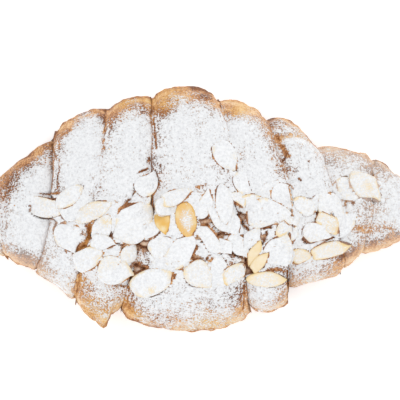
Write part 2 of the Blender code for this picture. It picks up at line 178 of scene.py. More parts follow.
def through_knots(knots, share):
    """A smooth curve through equally spaced knots: a cubic between each two, whose slope at a knot is
    half the way from the knot before to the knot after."""
    knots = np.asarray(knots, float)
    padded = np.concatenate([[2 * knots[0] - knots[1]], knots, [2 * knots[-1] - knots[-2]]])
    place = np.clip(share, 0, 1) * (len(knots) - 1)
    cell = np.minimum(place.astype(int), len(knots) - 2)
    u = place - cell
    before, start, end, after = (padded[cell + step] for step in range(4))
    slope_in, slope_out, chord = (end - before) / 2, (after - start) / 2, end - start
    bend = 3 * chord - 2 * slope_in - slope_out
    return start + u * (slope_in + u * (bend + u * (slope_in + slope_out - 2 * chord)))


def seam_line(knots, angle):
    """x of a seam at an angle round the section: through its knots over the dome, smoothly back under
    the sole, and two small sines so that it wavers. The tips don't waver."""
    over = through_knots(knots, angle / pi)
    under = smooth(0, 1, angle / pi - 1)
    x = np.where(angle <= pi, over, knots[-1] + (knots[0] - knots[-1]) * under)
    crest = knots[2]
    ripple = sum(size * np.sin(waves * angle + shift * crest) for size, waves, shift in RIPPLES)
    return x + (ripple * np.abs(np.sin(angle)) if abs(crest) < HALF_LENGTH else 0)


def reach_along(reach, t):
    """A straight line from the left reach to the right one, plus swell times 1 - |2t - 1|^2.4."""
    left, right, swell = reach
    return left + (right - left) * t + swell * (1 - np.abs(2 * t - 1) ** SWELL_POWER)


def lumps(x, angle):
    """Broad unevenness from -1 to 1: three sines of different pitch along and round the roll, the
    first half of the whole, the others 0.3 and 0.2 of it."""
    return (
        0.5 * np.sin(0.21 * x + 2.3 * np.sin(angle)) * np.sin(2.0 * angle + 0.7)
        + 0.3 * np.sin(0.43 * x + 1.9 + 3.1 * np.cos(angle))
        + 0.2 * np.sin(0.71 * x - 4.7 * np.cos(angle))
    )


def ear_reach(t):
    """The torn flap: a straight rise to its corner, and a steep fall after it."""
    rising = (t - EAR_START) / (EAR_CORNER - EAR_START)
    falling = (EAR_END - t) / (EAR_END - EAR_CORNER)
    return EAR_REACH * np.clip(np.minimum(rising, falling), 0, 1)


print("reach of the middle band to the front:", reach_along(BANDS[MIDDLE].front, np.arange(3) / 2).round(1))

# %% [markdown]
# ## Lips and grooves
# Where a turn of dough ends on top of the next, it shows a rounded lip that leans over its
# neighbour, and the neighbour tucks under it into a groove. They could be modelled with bevels, but
# no two edges meet there: each is a change of height and lean near its own edge of the band.

# %% The relief at the seam edges
def edges_of(band):
    """(direction along x, whether it is a lip) of each seam edge of a band. A tip is no edge."""
    ends = [(-1, band > 0), (1, band < LAST)]
    return [(outward, (band - MIDDLE) * outward >= 0) for outward, is_seam in ends if is_seam]


def edge_relief(band, t):
    """(height, lean) at the seam edges: a lip falls as a quarter circle and leans outwards with the
    square of its nearness, and a groove dips with the square and slips under."""
    height, lean = np.zeros_like(t), np.zeros_like(t)
    for outward, is_lip in edges_of(band):
        from_edge = t if outward < 0 else 1 - t
        if is_lip:
            u = np.clip(1 - from_edge / LIP_REACH, 0, 1)
            height -= LIP_ROUND * (1 - np.sqrt(1 - u * u))
            lean += outward * LIP_OVERHANG * np.clip(1 - from_edge / OVERHANG_REACH, 0, 1) ** 2
        else:
            height -= GROOVE_DEPTH * np.clip(1 - from_edge / GROOVE_REACH, 0, 1) ** 2
            lean += outward * TUCK * np.clip(1 - from_edge / TUCK_REACH, 0, 1)
    return height, lean


print("lips:", sum(is_lip for band in range(len(BANDS)) for _, is_lip in edges_of(band)))

# %% [markdown]
# ## One band as a surface
# With those, a band is a function of two parameters: t runs along it and the angle round it. The
# section is a superellipse, a circle whose sine and cosine are raised to a power, fuller on top and
# squarer below, and cut flat by the tray. The two end bands close on a point, as a sphere does.

# %% The band surface
def next_seam(band):
    """The knots of the seam that ends a band, and the right tip after the last one."""
    return BANDS[band + 1].seam if band < LAST else RIGHT_TIP


def band_surface(band, t, angle):
    """Points in millimetres. y is the centre line minus half the width times cos^p, z is the waist plus
    the rise times sin^p, never under 0, and the end bands shrink by sqrt(1 - (1 - t)^2) to their tip."""
    this = BANDS[band]
    front, back, top = (reach_along(reach, t) for reach in (this.front, this.back, this.top))
    cosine, sine = np.cos(angle), np.sin(angle)
    if band == EAR_BAND:
        front = front + ear_reach(t) * np.clip(cosine, 0, 1)
    relief, lean = edge_relief(band, t)
    start, end = seam_line(this.seam, angle), seam_line(next_seam(band), angle)
    x = start + (end - start) * t + lean

    power = np.where(angle <= pi, DOME_POWER, SOLE_POWER)
    across = np.sign(cosine) * np.abs(cosine) ** power
    upward = np.sign(sine) * np.abs(sine) ** power
    raised = relief + LUMP * lumps(x, angle) * np.clip(upward + LUMP_BELOW, 0, 1)
    if band == CREASE_BAND:
        crease = CREASE_START + (CREASE_END - CREASE_START) * t
        fold = np.clip(1 - np.abs(angle - crease) / CREASE_HALF, 0, 1)
        raised = raised - CREASE_DEPTH * fold * np.clip(CREASE_EASE * t * (1 - t), 0, 1)
    centre = (back - front) / 2 - MIDLINE
    y = centre - ((front + back) / 2 + raised) * across
    waist = WAIST_SHARE * top
    z = waist + np.where(angle <= pi, top + raised - waist, waist + TRAY_SINK) * upward
    if band in (0, LAST):
        from_tip = np.clip(t if band == 0 else 1 - t, 0, 1)
        closing = np.sqrt(1 - (1 - from_tip) ** 2)
        y = centre + (y - centre) * closing
        z = TIP_HEIGHT + (z - TIP_HEIGHT) * closing
    return np.stack(np.broadcast_arrays(x, y, np.maximum(z, 0)), axis=-1)


print("crest of the middle band in mm:", band_surface(MIDDLE, np.array(0.5), np.array(pi / 2)).round(1))

# %% [markdown]
# ## The almond slices one by one
# Sliced almonds are cut about a millimetre thick. The ones that show are placed one by one where
# the solid has them, as a table of numbers, because a random scatter would never give the same
# heap. A broken slice ends in a straight line.

# %% The slices, in the order in which they fell
# x, y, length, width and turn, then tone (0 cream, 1 golden) and dust (0 bare, 1 covered in sugar).
# A broken one has two more: the direction of its break, and how far out that is.
Slice = namedtuple("Slice", "x y length width turn tone dust cut keep", defaults=(0, 2))
TOP_SLICES = [Slice(*row) for row in (
    (26.0, -1.5, 20.5, 12.0, 0, 0.1, 1.0, 180, 0.78),
    (52.5, -1.5, 18.0, 9.5, -70, 0.1, 0.95),
    (17.0, 10.0, 12.5, 7.5, -60, 0.1, 1.0, 70, 0.5),
    (8.0, -2.0, 16.5, 10.5, -75, 0.2, 0.9),
    (5.8, -24.0, 13.0, 10.0, 82, 0.15, 0.95),
    (-19.5, -29.0, 19.5, 11.0, 15, 0.3, 0.95),
    (-34.8, -24.8, 15.0, 12.0, -15, 0.2, 0.95),
    (-53.3, -11.6, 14.5, 11.5, -60, 0.2, 0.95, 27, 0.66),
    (-29.3, -17.2, 9.5, 6.5, 72, 0.2, 0.95),
    (-15.7, -5.0, 10.5, 6.5, -78, 0.85, 0.0, 150, 0.8),
    (-22.0, 10.8, 12.5, 9.0, 70, 0.1, 1.05, 30, 0.6),
    (13.2, -26.0, 11.0, 8.5, 45, 0.5, 0.6, 250, 0.6),
    (51.0, -5.5, 11.5, 8.5, -55, 0.55, 0.4, 130, 0.7),
    (39.5, -19.0, 10.5, 6.5, 8, 0.35, 0.35, 180, 0.6),
    (59.3, 7.6, 13.0, 9.0, -22, 0.3, 0.75, 200, 0.75),
    (-62.3, 1.1, 16.5, 10.0, -16, 0.3, 0.75, 106, 0.7),
    (-51.0, 1.6, 15.5, 10.5, 48, 0.1, 1.0),
    (-53.2, 5.2, 14.0, 6.8, 41, 0.3, 0.85),
    (-44.0, -1.0, 17.2, 7.5, 26, 0.3, 0.65),
    (-28.0, -4.8, 21.0, 16.5, 45, 0.1, 0.88, 130, 0.74),
    (-14.6, 0.8, 9.5, 7.0, -15, 0.2, 0.95),
    (-11.0, 4.8, 15.5, 6.5, 18, 0.3, 0.75, 180, 0.7),
    (1.0, 2.5, 13.0, 7.5, 75, 0.1, 0.95, 60, 0.55),
    (-6.2, -4.9, 16.5, 8.2, -79, 0.92, 0.45),
    (-8.4, -17.0, 16.5, 12.0, 50, 0.1, 0.95, 100, 0.75),
    (-1.0, -26.5, 13.5, 10.5, -45, 0.2, 0.6),
    (2.8, -12.6, 13.5, 9.0, -50, 0.1, 0.9, 260, 0.55),
    (8.8, 2.0, 17.0, 7.4, -82, 0.2, 0.9),
    (-45.8, -19.4, 13.0, 11.0, 20, 0.3, 0.8, 100, 0.75),
    (31.0, -16.5, 16.0, 12.0, 65, 0.2, 0.95, 190, 0.75),
    (20.3, -11.2, 9.5, 6.5, 55, 0.2, 0.95),
    (21.3, -17.9, 11.5, 5.4, 66, 0.35, 0.0, 250, 0.55),
    (22.9, -21.6, 12.0, 4.8, 45, 0.35, 0.0, 180, 0.65),
    (26.0, -28.2, 17.0, 6.2, 0, 0.3, 0.25),
    (46.4, -10.0, 11.5, 9.5, -10, 0.2, 0.9, 300, 0.65),
    (51.8, -16.5, 18.5, 7.2, 14, 0.3, 0.45, 180, 0.8),
    (66.9, 9.1, 16.5, 11.0, -50, 0.3, 0.7, 140, 0.74),
    (41.0, 0.7, 12.0, 8.5, -15, 0.3, 0.85, 240, 0.55),
    (-40.3, -13.2, 12.5, 6.2, -10, 0.3, 0.85, 180, 0.7),
    (9.5, 21.2, 14.0, 9.0, -55, 0.1, 1.0),
)]
POCKETS = ((-46, -10), (-49, -16), (-24, -15), (-26, -23), (-2.5, -20.5), (1, -5), (16, -3), (25, -11))
print(len(TOP_SLICES), "slices placed by eye, and", len(POCKETS), "pockets left open")

# %% [markdown]
# ## The slices between and under them
# The rest are smaller broken pieces that fill the heap. They are strewn by a rule with a fixed
# seed: each, the largest first, takes the emptiest of a few random places, and the pockets count as
# taken. Plain random places would pile up in some spots and leave others bare.

# %% Strewing the smaller slices
STREWN, STREW_SEED, STREW_TRIES = 21, 4, 14
STREW_CENTRE, STREW_HALF, STREW_TILT = (0.0, -9.0), (58.0, 17.0), 0.08
STREW_LENGTH, STREW_WIDTH_SHARE, STREW_KEEP = (14.0, 9.5), (0.56, 0.74), (0.45, 1.25)
STREW_TONE, STREW_DUST = (0.1, 0.4), (0.85, 1.1)


def strewn_slices():
    """The smaller slices, largest first: each takes the emptiest of a few seeded places in an ellipse.
    Their tones and dust come from a second row of draws."""
    random = np.random.default_rng(STREW_SEED)
    shades = np.random.default_rng(STREW_SEED + 1)
    taken = np.array([*POCKETS, *((almond.x, almond.y) for almond in TOP_SLICES)])
    strewn = []
    for length in np.linspace(*STREW_LENGTH, STREWN):
        out = np.sqrt(random.uniform(0, 1, STREW_TRIES))
        around = random.uniform(0, 2 * pi, STREW_TRIES)
        x = STREW_CENTRE[0] + STREW_HALF[0] * out * np.cos(around)
        y = STREW_CENTRE[1] + STREW_HALF[1] * out * np.sin(around) + STREW_TILT * x
        room = np.hypot(x[:, None] - taken[:, 0], y[:, None] - taken[:, 1]).min(axis=1)
        best = room.argmax()
        width = length * random.uniform(*STREW_WIDTH_SHARE)
        turn, cut, keep = random.uniform(-90, 90), random.uniform(0, 360), random.uniform(*STREW_KEEP)
        tone, dust = shades.uniform(*STREW_TONE), shades.uniform(*STREW_DUST)
        strewn.append(Slice(x[best], y[best], length, width, turn, tone, dust, cut, keep))
        taken = np.vstack([taken, (x[best], y[best])])
    return strewn


slices = [*strewn_slices(), *TOP_SLICES]
print(len(slices), "slices of almond")

# %% [markdown]
# ## The shape of one slice
# Seen flat, an almond slice is an ellipse that is drawn out to a point, and narrow slices are
# pointed at both ends. A traced outline would suit one slice only. Two powers of the cosine turn
# any ellipse into such a shape, and a shallow arch keeps it from lying dead flat.

# %% Outline and arch of a slice
ALMOND_THICK, ALMOND_ARCH = 0.95, 0.9
ARCH_LIFT, ARCH_ACROSS = 0.5, 0.5
POINTED, LEAF, LEAF_BELOW = 0.30, 0.9, 0.58


def slimness(almond, cosine):
    """What turns an ellipse into an almond: (1 - c)^p points one end, and (1 + c)^q the other end too
    on narrow slices, which are cut from the side of the nut. It is 1 where the shape is widest."""
    p, q = POINTED, LEAF * max(LEAF_BELOW - almond.width / almond.length, 0)
    widest = (q - p) / (1 + p + q)
    full = np.sqrt(1 - widest**2) * (1 - widest) ** p * (1 + widest) ** q
    return (1 - cosine) ** p * (1 + cosine) ** q / full


def facing(almond):
    """The direction that a slice's break faces, as a cosine and a sine."""
    return np.cos(np.radians(almond.cut)), np.sin(np.radians(almond.cut))


def slice_outline(almond, angle, ring):
    """Offsets (along, across) of a ring of a slice: an ellipse, slimmed to an almond's shape, and moved
    back to the straight line where the slice is broken. Ring 1 is its edge."""
    u, v = np.cos(angle), np.sin(angle) * slimness(almond, np.cos(angle))
    a, b = facing(almond)
    beyond = np.maximum(u * a + v * b - almond.keep, 0)
    return almond.length / 2 * (u - beyond * a) * ring, almond.width / 2 * (v - beyond * b) * ring


def slice_arch(almond, along, across):
    """A shallow paraboloid: highest in the middle, and lower with the squares of the offsets."""
    share = (2 * along / almond.length) ** 2 + ARCH_ACROSS * (2 * across / almond.width) ** 2
    return ALMOND_ARCH * (ARCH_LIFT - share)


def turned(almond, along, across):
    """Offsets along x and y: the offsets along and across the slice, turned by its angle."""
    cosine, sine = np.cos(np.radians(almond.turn)), np.sin(np.radians(almond.turn))
    return along * cosine - across * sine, along * sine + across * cosine


print("slimness of a slice near its point:", round(float(slimness(slices[-1], 0.9)), 2))

# %% [markdown]
# ## Laying the almonds
# A slice falls flat on what is under it, on dough or on other slices. Dropping them with a rigid
# body simulation would be another way, but then they would not lie where the solid's own slices
# lie. So both use one rule: feel the height under each slice, lay the plane that fits it best, lift
# it until the slice only bites, and add it to the map of heights.

# %% Feeling the height and laying each slice
ALMOND_BITE, BURIED_SHARE, STEEPEST = 0.3, 0.12, 0.75
FEELERS, FEELER_RINGS = 24, (0.15, 0.4, 0.6, 0.8, 0.95)
CELL, MAP_HALF = 1.0, (100, 60)
FELT_ALONG, FELT_ROUND = 70, 300


def cell_of(x, y):
    """Indices of the square cell of the height map that x, y lies in."""
    indices = []
    for value, half in zip((x, y), MAP_HALF):
        indices.append(np.clip(np.floor(value / CELL).astype(int) + half, 0, 2 * half - 1))
    return tuple(indices)


def height_map():
    """Highest point of the bare roll in each cell."""
    top = np.zeros((2 * MAP_HALF[0], 2 * MAP_HALF[1]))
    t, angle = np.meshgrid(np.linspace(0, 1, FELT_ALONG), np.linspace(0, pi, FELT_ROUND), indexing="ij")
    for band in range(len(BANDS)):
        points = band_surface(band, t, angle).reshape(-1, 3)
        np.maximum.at(top, cell_of(points[:, 0], points[:, 1]), points[:, 2])
    return top


def lay_slice(almond, top):
    """The plane (height, slope along x, slope along y) that a slice rests on: the least squares plane
    through what is felt below it, lifted until only a small share of the slice bites."""
    angle = np.arange(FEELERS) * 2 * pi / FEELERS
    rings = [slice_outline(almond, angle, ring) for ring in FEELER_RINGS]
    along, across = (np.concatenate([ring[side] for ring in rings]) for side in (0, 1))
    dx, dy = turned(almond, along, across)
    arch = slice_arch(almond, along, across)
    cells = cell_of(almond.x + dx, almond.y + dy)
    below = top[cells] - arch
    sides = np.stack([np.ones_like(dx), dx, dy], axis=1)
    slope_x, slope_y = np.linalg.lstsq(sides, below, rcond=None)[0][1:]
    ease = min(1, STEEPEST / max(np.hypot(slope_x, slope_y), STEEPEST))
    slope_x, slope_y = slope_x * ease, slope_y * ease
    level = np.quantile(below - slope_x * dx - slope_y * dy, 1 - BURIED_SHARE) - ALMOND_BITE
    np.maximum.at(top, cells, level + slope_x * dx + slope_y * dy + arch + ALMOND_THICK)
    return level, slope_x, slope_y


felt = height_map()
planes = [lay_slice(almond, felt) for almond in slices]
print("highest point felt:", round(felt.max(), 1), "mm")

# %% [markdown]
# ## Over and under the slices
# Sugar is sieved on last, so it misses what lies under a slice, and what lies beside one fills up.
# Both need the same measure: how far a point is from a slice's middle, as a share of the outline in
# that direction, and how high the slice's upper face is there. Casting rays would find the same,
# more slowly, and would not say how near a miss was.

# %% Measuring against a slice
SHARE_ROUNDS, SMALLEST_SHARE, END_COSINE = 3, 0.01, 0.98
NONE_NEAR = 99.0
CLEAR_ABOVE, CROWD_REACH = 0.2, 3.5


def over_slice(almond, plane, points):
    """(share of the outline, height of the upper face) at each point. The share r of (u, v) solves
    r = |(u, v / slimness(u / r))|, and three rounds from a first guess come close enough."""
    dx, dy = points[:, 0] - almond.x, points[:, 1] - almond.y
    along, across = turned(almond._replace(turn=-almond.turn), dx, dy)
    u, v = along * 2 / almond.length, across * 2 / almond.width
    ring = np.hypot(u, v) + SMALLEST_SHARE
    for _ in range(SHARE_ROUNDS):
        cosine = np.clip(u / ring, -END_COSINE, END_COSINE)
        ring = np.hypot(u, v / slimness(almond, cosine)) + SMALLEST_SHARE
    a, b = facing(almond)
    ring = np.maximum(ring, (u * a + v * b) / almond.keep)
    face = plane[0] + plane[1] * dx + plane[2] * dy + slice_arch(almond, along, across)
    return ring, face + ALMOND_THICK


def hidden_by(points, first, inner, outer):
    """0 in the open and 1 under one of the slices from number first on, fading from inner to outer."""
    hidden = np.zeros(len(points))
    for almond, plane in zip(slices[first:], planes[first:]):
        ring, face = over_slice(almond, plane, points)
        is_below = face > points[:, 2] + CLEAR_ABOVE
        hidden = np.maximum(hidden, (1 - smooth(inner, outer, ring)) * is_below)
    return hidden


def seen_from_above(points):
    """For each point: the height of the highest slice over it (-99 if there is none), how dusted that
    slice is, the distance to the nearest outline in millimetres, and how crowded it is: the sum of
    each slice's nearness, 1 at its outline and 0 from 3.5 mm away."""
    top, dust = np.full(len(points), -NONE_NEAR), np.zeros(len(points))
    beside, crowd = np.full(len(points), NONE_NEAR), np.zeros(len(points))
    for almond, plane in zip(slices, planes):
        ring, face = over_slice(almond, plane, points)
        higher = (ring < 1) & (face > top)
        top, dust = np.where(higher, face, top), np.where(higher, almond.dust, dust)
        away = np.maximum(ring - 1, 0) * almond.width / 2
        beside, crowd = np.minimum(beside, away), crowd + smooth(CROWD_REACH, 0, away)
    return top, dust, beside, crowd


middle_of_last = np.array([[slices[-1].x, slices[-1].y, 0.0]])
top_of_last = over_slice(slices[-1], planes[-1], middle_of_last)[1]
print("top of the last slice:", top_of_last.round(1), "mm")

# %% [markdown]
# ## The crust
# The crust is the same surface on a fine grid of about 0.6 mm, close together at the seams. Pushing
# its points along their normals gives what the solid leaves out: plies that show as small steps
# beside each lip, blisters and wrinkles, a ragged rim, and the thickness of the sugar itself. A
# Subdivision Surface modifier would make it as fine, but round off the lips.

# %% A fine grid over the roll
ALONG_STEPS = (16, 32, 36, 36, 62, 36, 36, 26, 28)
DOME_ROWS, SOLE_ROWS = 252, 18
CLOSER = 0.6  # 0 spaces the columns evenly, and nearer 1 crowds them at the seams
CREST_CLOSER = 0.25  # the same for the rows, which crowd on the crest


def column_places(count, band):
    """t of each column: even places s, less a sine that crowds them at both seams. The end bands are
    crowded at the tip instead, as 1 - cos, so that their caps stay round."""
    s = np.linspace(0, 1, count)
    if band == 0:
        return 1 - np.cos(s * pi / 2)
    if band == LAST:
        return np.sin(s * pi / 2)
    return s - CLOSER * np.sin(2 * pi * s) / (2 * pi)


dome = np.linspace(0, pi, DOME_ROWS, endpoint=False)
dome = dome + CREST_CLOSER * np.sin(2 * dome) / 2
sole = np.linspace(pi, 2 * pi, SOLE_ROWS, endpoint=False)
angles = np.concatenate([dome, sole])
columns, column_band, column_t, column_lean = [], [], [], []
for band, count in enumerate(ALONG_STEPS):
    t = column_places(count, band)
    t = t[1:] if band == 0 else t[:-1] if band == LAST else t
    columns.append(band_surface(band, t[:, None], angles[None, :]))
    column_band.append(np.full(len(t), band))
    column_t.append(t)
    column_lean.append(edge_relief(band, t)[1])
roll = np.concatenate(columns)
column_band, column_t, column_lean = (np.concatenate(v) for v in (column_band, column_t, column_lean))
print("grid of", roll.shape[0], "columns and", roll.shape[1], "rows")


def grid_normals(grid):
    """Unit normals of a grid that closes on itself round the section: the cross product of the steps
    to the next column and to the next row."""
    along = np.gradient(grid, axis=0)
    around = np.roll(grid, -1, axis=1) - np.roll(grid, 1, axis=1)
    normal = np.cross(along, around)
    return normal / np.maximum(np.linalg.norm(normal, axis=-1, keepdims=True), 1e-9)


normals = grid_normals(roll)
looks_up = normals[..., 2]

# %% [markdown]
# ## How near a seam is
# Flakes, bare dough and drifts all depend on how far a point is from the nearest lip or groove. One
# could search for the nearest seam point, but the grid already runs along t, so the distance is the
# share of the way from that edge times the band's width. Some seams gape, and others are so full of
# sugar that they hardly show, so each has an openness at the front, on the crest and at the back.

# %% Distance from the seams
SEAM_OPEN = (
    (0.45, 0.15, 0.10),
    (0.20, 0.6, 0.90),
    (1.00, 0.0, 0.70),
    (1.00, 0.7, 0.95),
    (0.70, 0.2, 0.45),
    (0.70, 0.2, 0.80),
    (0.45, 0.1, 0.25),
    (0.20, 0.0, 0.05),
)


def seam_distance():
    """(distance in mm from the nearest lip, from the nearest groove, and how open the nearest seam is)
    for each grid point: the share t from that edge times the band's width at that angle."""
    lip, groove = (np.full(roll.shape[:2], NONE_NEAR) for _ in range(2))
    openness = np.zeros(roll.shape[:2])
    for band in range(len(BANDS)):
        rows = column_band == band
        t = column_t[rows][:, None]
        width = seam_line(next_seam(band), angles) - seam_line(BANDS[band].seam, angles)
        for outward, is_lip in edges_of(band):
            distance = (t if outward < 0 else 1 - t) * width[None, :]
            nearer = distance < np.minimum(lip[rows], groove[rows])
            seam = band - 1 if outward < 0 else band
            this_open = through_knots(SEAM_OPEN[seam], np.minimum(angles / pi, 1))
            openness[rows] = np.where(nearer, this_open[None, :], openness[rows])
            target = lip if is_lip else groove
            target[rows] = np.minimum(target[rows], distance)
    return lip, groove, openness


def mean_of(values):
    """The mean of an array, or the share of it that is true, rounded to be printed."""
    return round(float(np.mean(values)), 3)


from_lip, from_groove, seam_open = seam_distance()
print("share of the crust within 3 mm of a seam:", mean_of(np.minimum(from_lip, from_groove) < 3))

# %% [markdown]
# ## Plies beside the lips
# The dough is folded round butter into thin layers, and where a lip is cut, they part into steps.
# Separate flakes would be truer, but hundreds of loose sheets a tenth of a millimetre thick are
# heavy and flicker. A stair with rounded treads that wavers and comes and goes reads the same.

# %% A stair of three plies
PLY_PITCH, PLY_STEP, PLIES = 1.3, 0.24, 3
TREAD = 0.66  # the share of a step that is flat
PLY_WAVER, PLY_FINE_WAVER = 0.6, 0.25
PLY_IN_SHUT_SEAM = 0.3


def stair(x):
    """A stair with rounded treads: flat for most of each step, and then a quick rise of one."""
    whole = np.floor(x)
    return whole + smooth(TREAD, 1.0, x - whole)


waver = noise(roll, 7.0, 21) * PLY_WAVER + noise(roll, 2.5, 22) * PLY_FINE_WAVER
ply_place = np.clip(from_lip + waver, 0, PLIES * PLY_PITCH) / PLY_PITCH
ply_here = smooth(-0.6, 0.3, noise(roll, 14.0, 23)) * smooth(PLIES * PLY_PITCH + 1, 1.5, from_lip)
ply_here = ply_here * (PLY_IN_SHUT_SEAM + (1 - PLY_IN_SHUT_SEAM) * seam_open)
plies = PLY_STEP * (stair(ply_place) - PLIES) * ply_here
ply_line = smooth(0.55, 0.85, ply_place % 1) * ply_here * (from_lip < PLIES * PLY_PITCH)
print("share of the crust with plies:", mean_of(ply_here > 0.3))

# %% [markdown]
# ## Patches
# Some places on the crust shine golden with egg wash and almond cream, some have lost their sugar,
# and some were sieved twice. They could be painted by hand, but a table of places and reaches says
# where they are, and a bell curve round each makes them soft. The fold at the back right is bare
# too, and is found by its angle round the section.

# %% Golden, rubbed and heaped patches, as x, y and reach
GOLDEN_PATCHES = (
    (-30.3, -36.5, 5.0), (-27.5, -42.5, 6.0), (-38.5, -46.5, 5.0), (-18.5, 41.0, 5.0), (-50.4, -28.0, 4.5),
    (-43.5, -40.5, 6.0), (-30.0, 43.5, 4.5), (-21.5, 44.0, 4.5), (-19.5, 38.0, 3.5), (-15.0, 43.0, 6.0),
    (15.6, 40.5, 4.0), (0.0, -46.0, 5.0), (-60.0, -24.0, 8.0),
)
RUBBED_PATCHES = (
    (-79.0, 12.0, 6.5), (-73.0, 19.5, 4.0), (-56.5, 34.0, 3.0), (-38.5, 40.5, 3.5), (-15.0, 40.5, 4.0),
    (14.5, 41.0, 4.0), (61.0, -20.0, 4.0), (70.0, -17.0, 4.0), (79.0, -12.0, 4.0), (-72.0, -22.0, 5.0),
    (-30.5, -41.5, 4.0),
)
HEAPED_PATCHES = (
    (24.0, 12.0, 7.0), (33.0, 10.0, 8.0), (42.0, 12.0, 8.0), (50.0, 9.0, 6.0), (9.0, 30.0, 7.0),
    (-45.5, 36.5, 5.0), (-62.5, 24.0, 4.0),
)
PATCH_FOOT = 4.0  # the patches stop at this height, in mm
GOLDEN_STRENGTH, GOLDEN_UNEVEN = 1.2, 0.6
MM_A_RADIAN, CREASE_WAVER, CREASE_WIDE = 36, 0.8, 2.2


def spots(points, places):
    """1 at each place and exp(-(distance / reach)^2) round it, the strongest where they meet."""
    strongest = np.zeros(points.shape[:-1])
    for x, y, reach in places:
        near = ((points[..., 0] - x) ** 2 + (points[..., 1] - y) ** 2) / reach**2
        strongest = np.maximum(strongest, np.exp(-near))
    return strongest


def crust_spots(places):
    """The spots on the crust, down to the height where the patches stop."""
    return spots(roll, places) * (roll[..., 2] > PATCH_FOOT)


gold_here = crust_spots(GOLDEN_PATCHES)
golden = np.clip(gold_here * GOLDEN_STRENGTH + GOLDEN_UNEVEN * rough(roll, 10.0, 3, 33), 0, 1)
crease_angle = CREASE_START + (CREASE_END - CREASE_START) * column_t[:, None]
off_crease = (angles - crease_angle) * MM_A_RADIAN + CREASE_WAVER * noise(roll, 4.0, 37)
crease = np.exp(-((off_crease / CREASE_WIDE) ** 2)) * (column_band == CREASE_BAND)[:, None]
crease = crease * smooth(0.02, 0.15, column_t)[:, None] * smooth(0.8, 0.5, column_t)[:, None]
print("share of the crust that is golden:", mean_of(golden > 0.5))
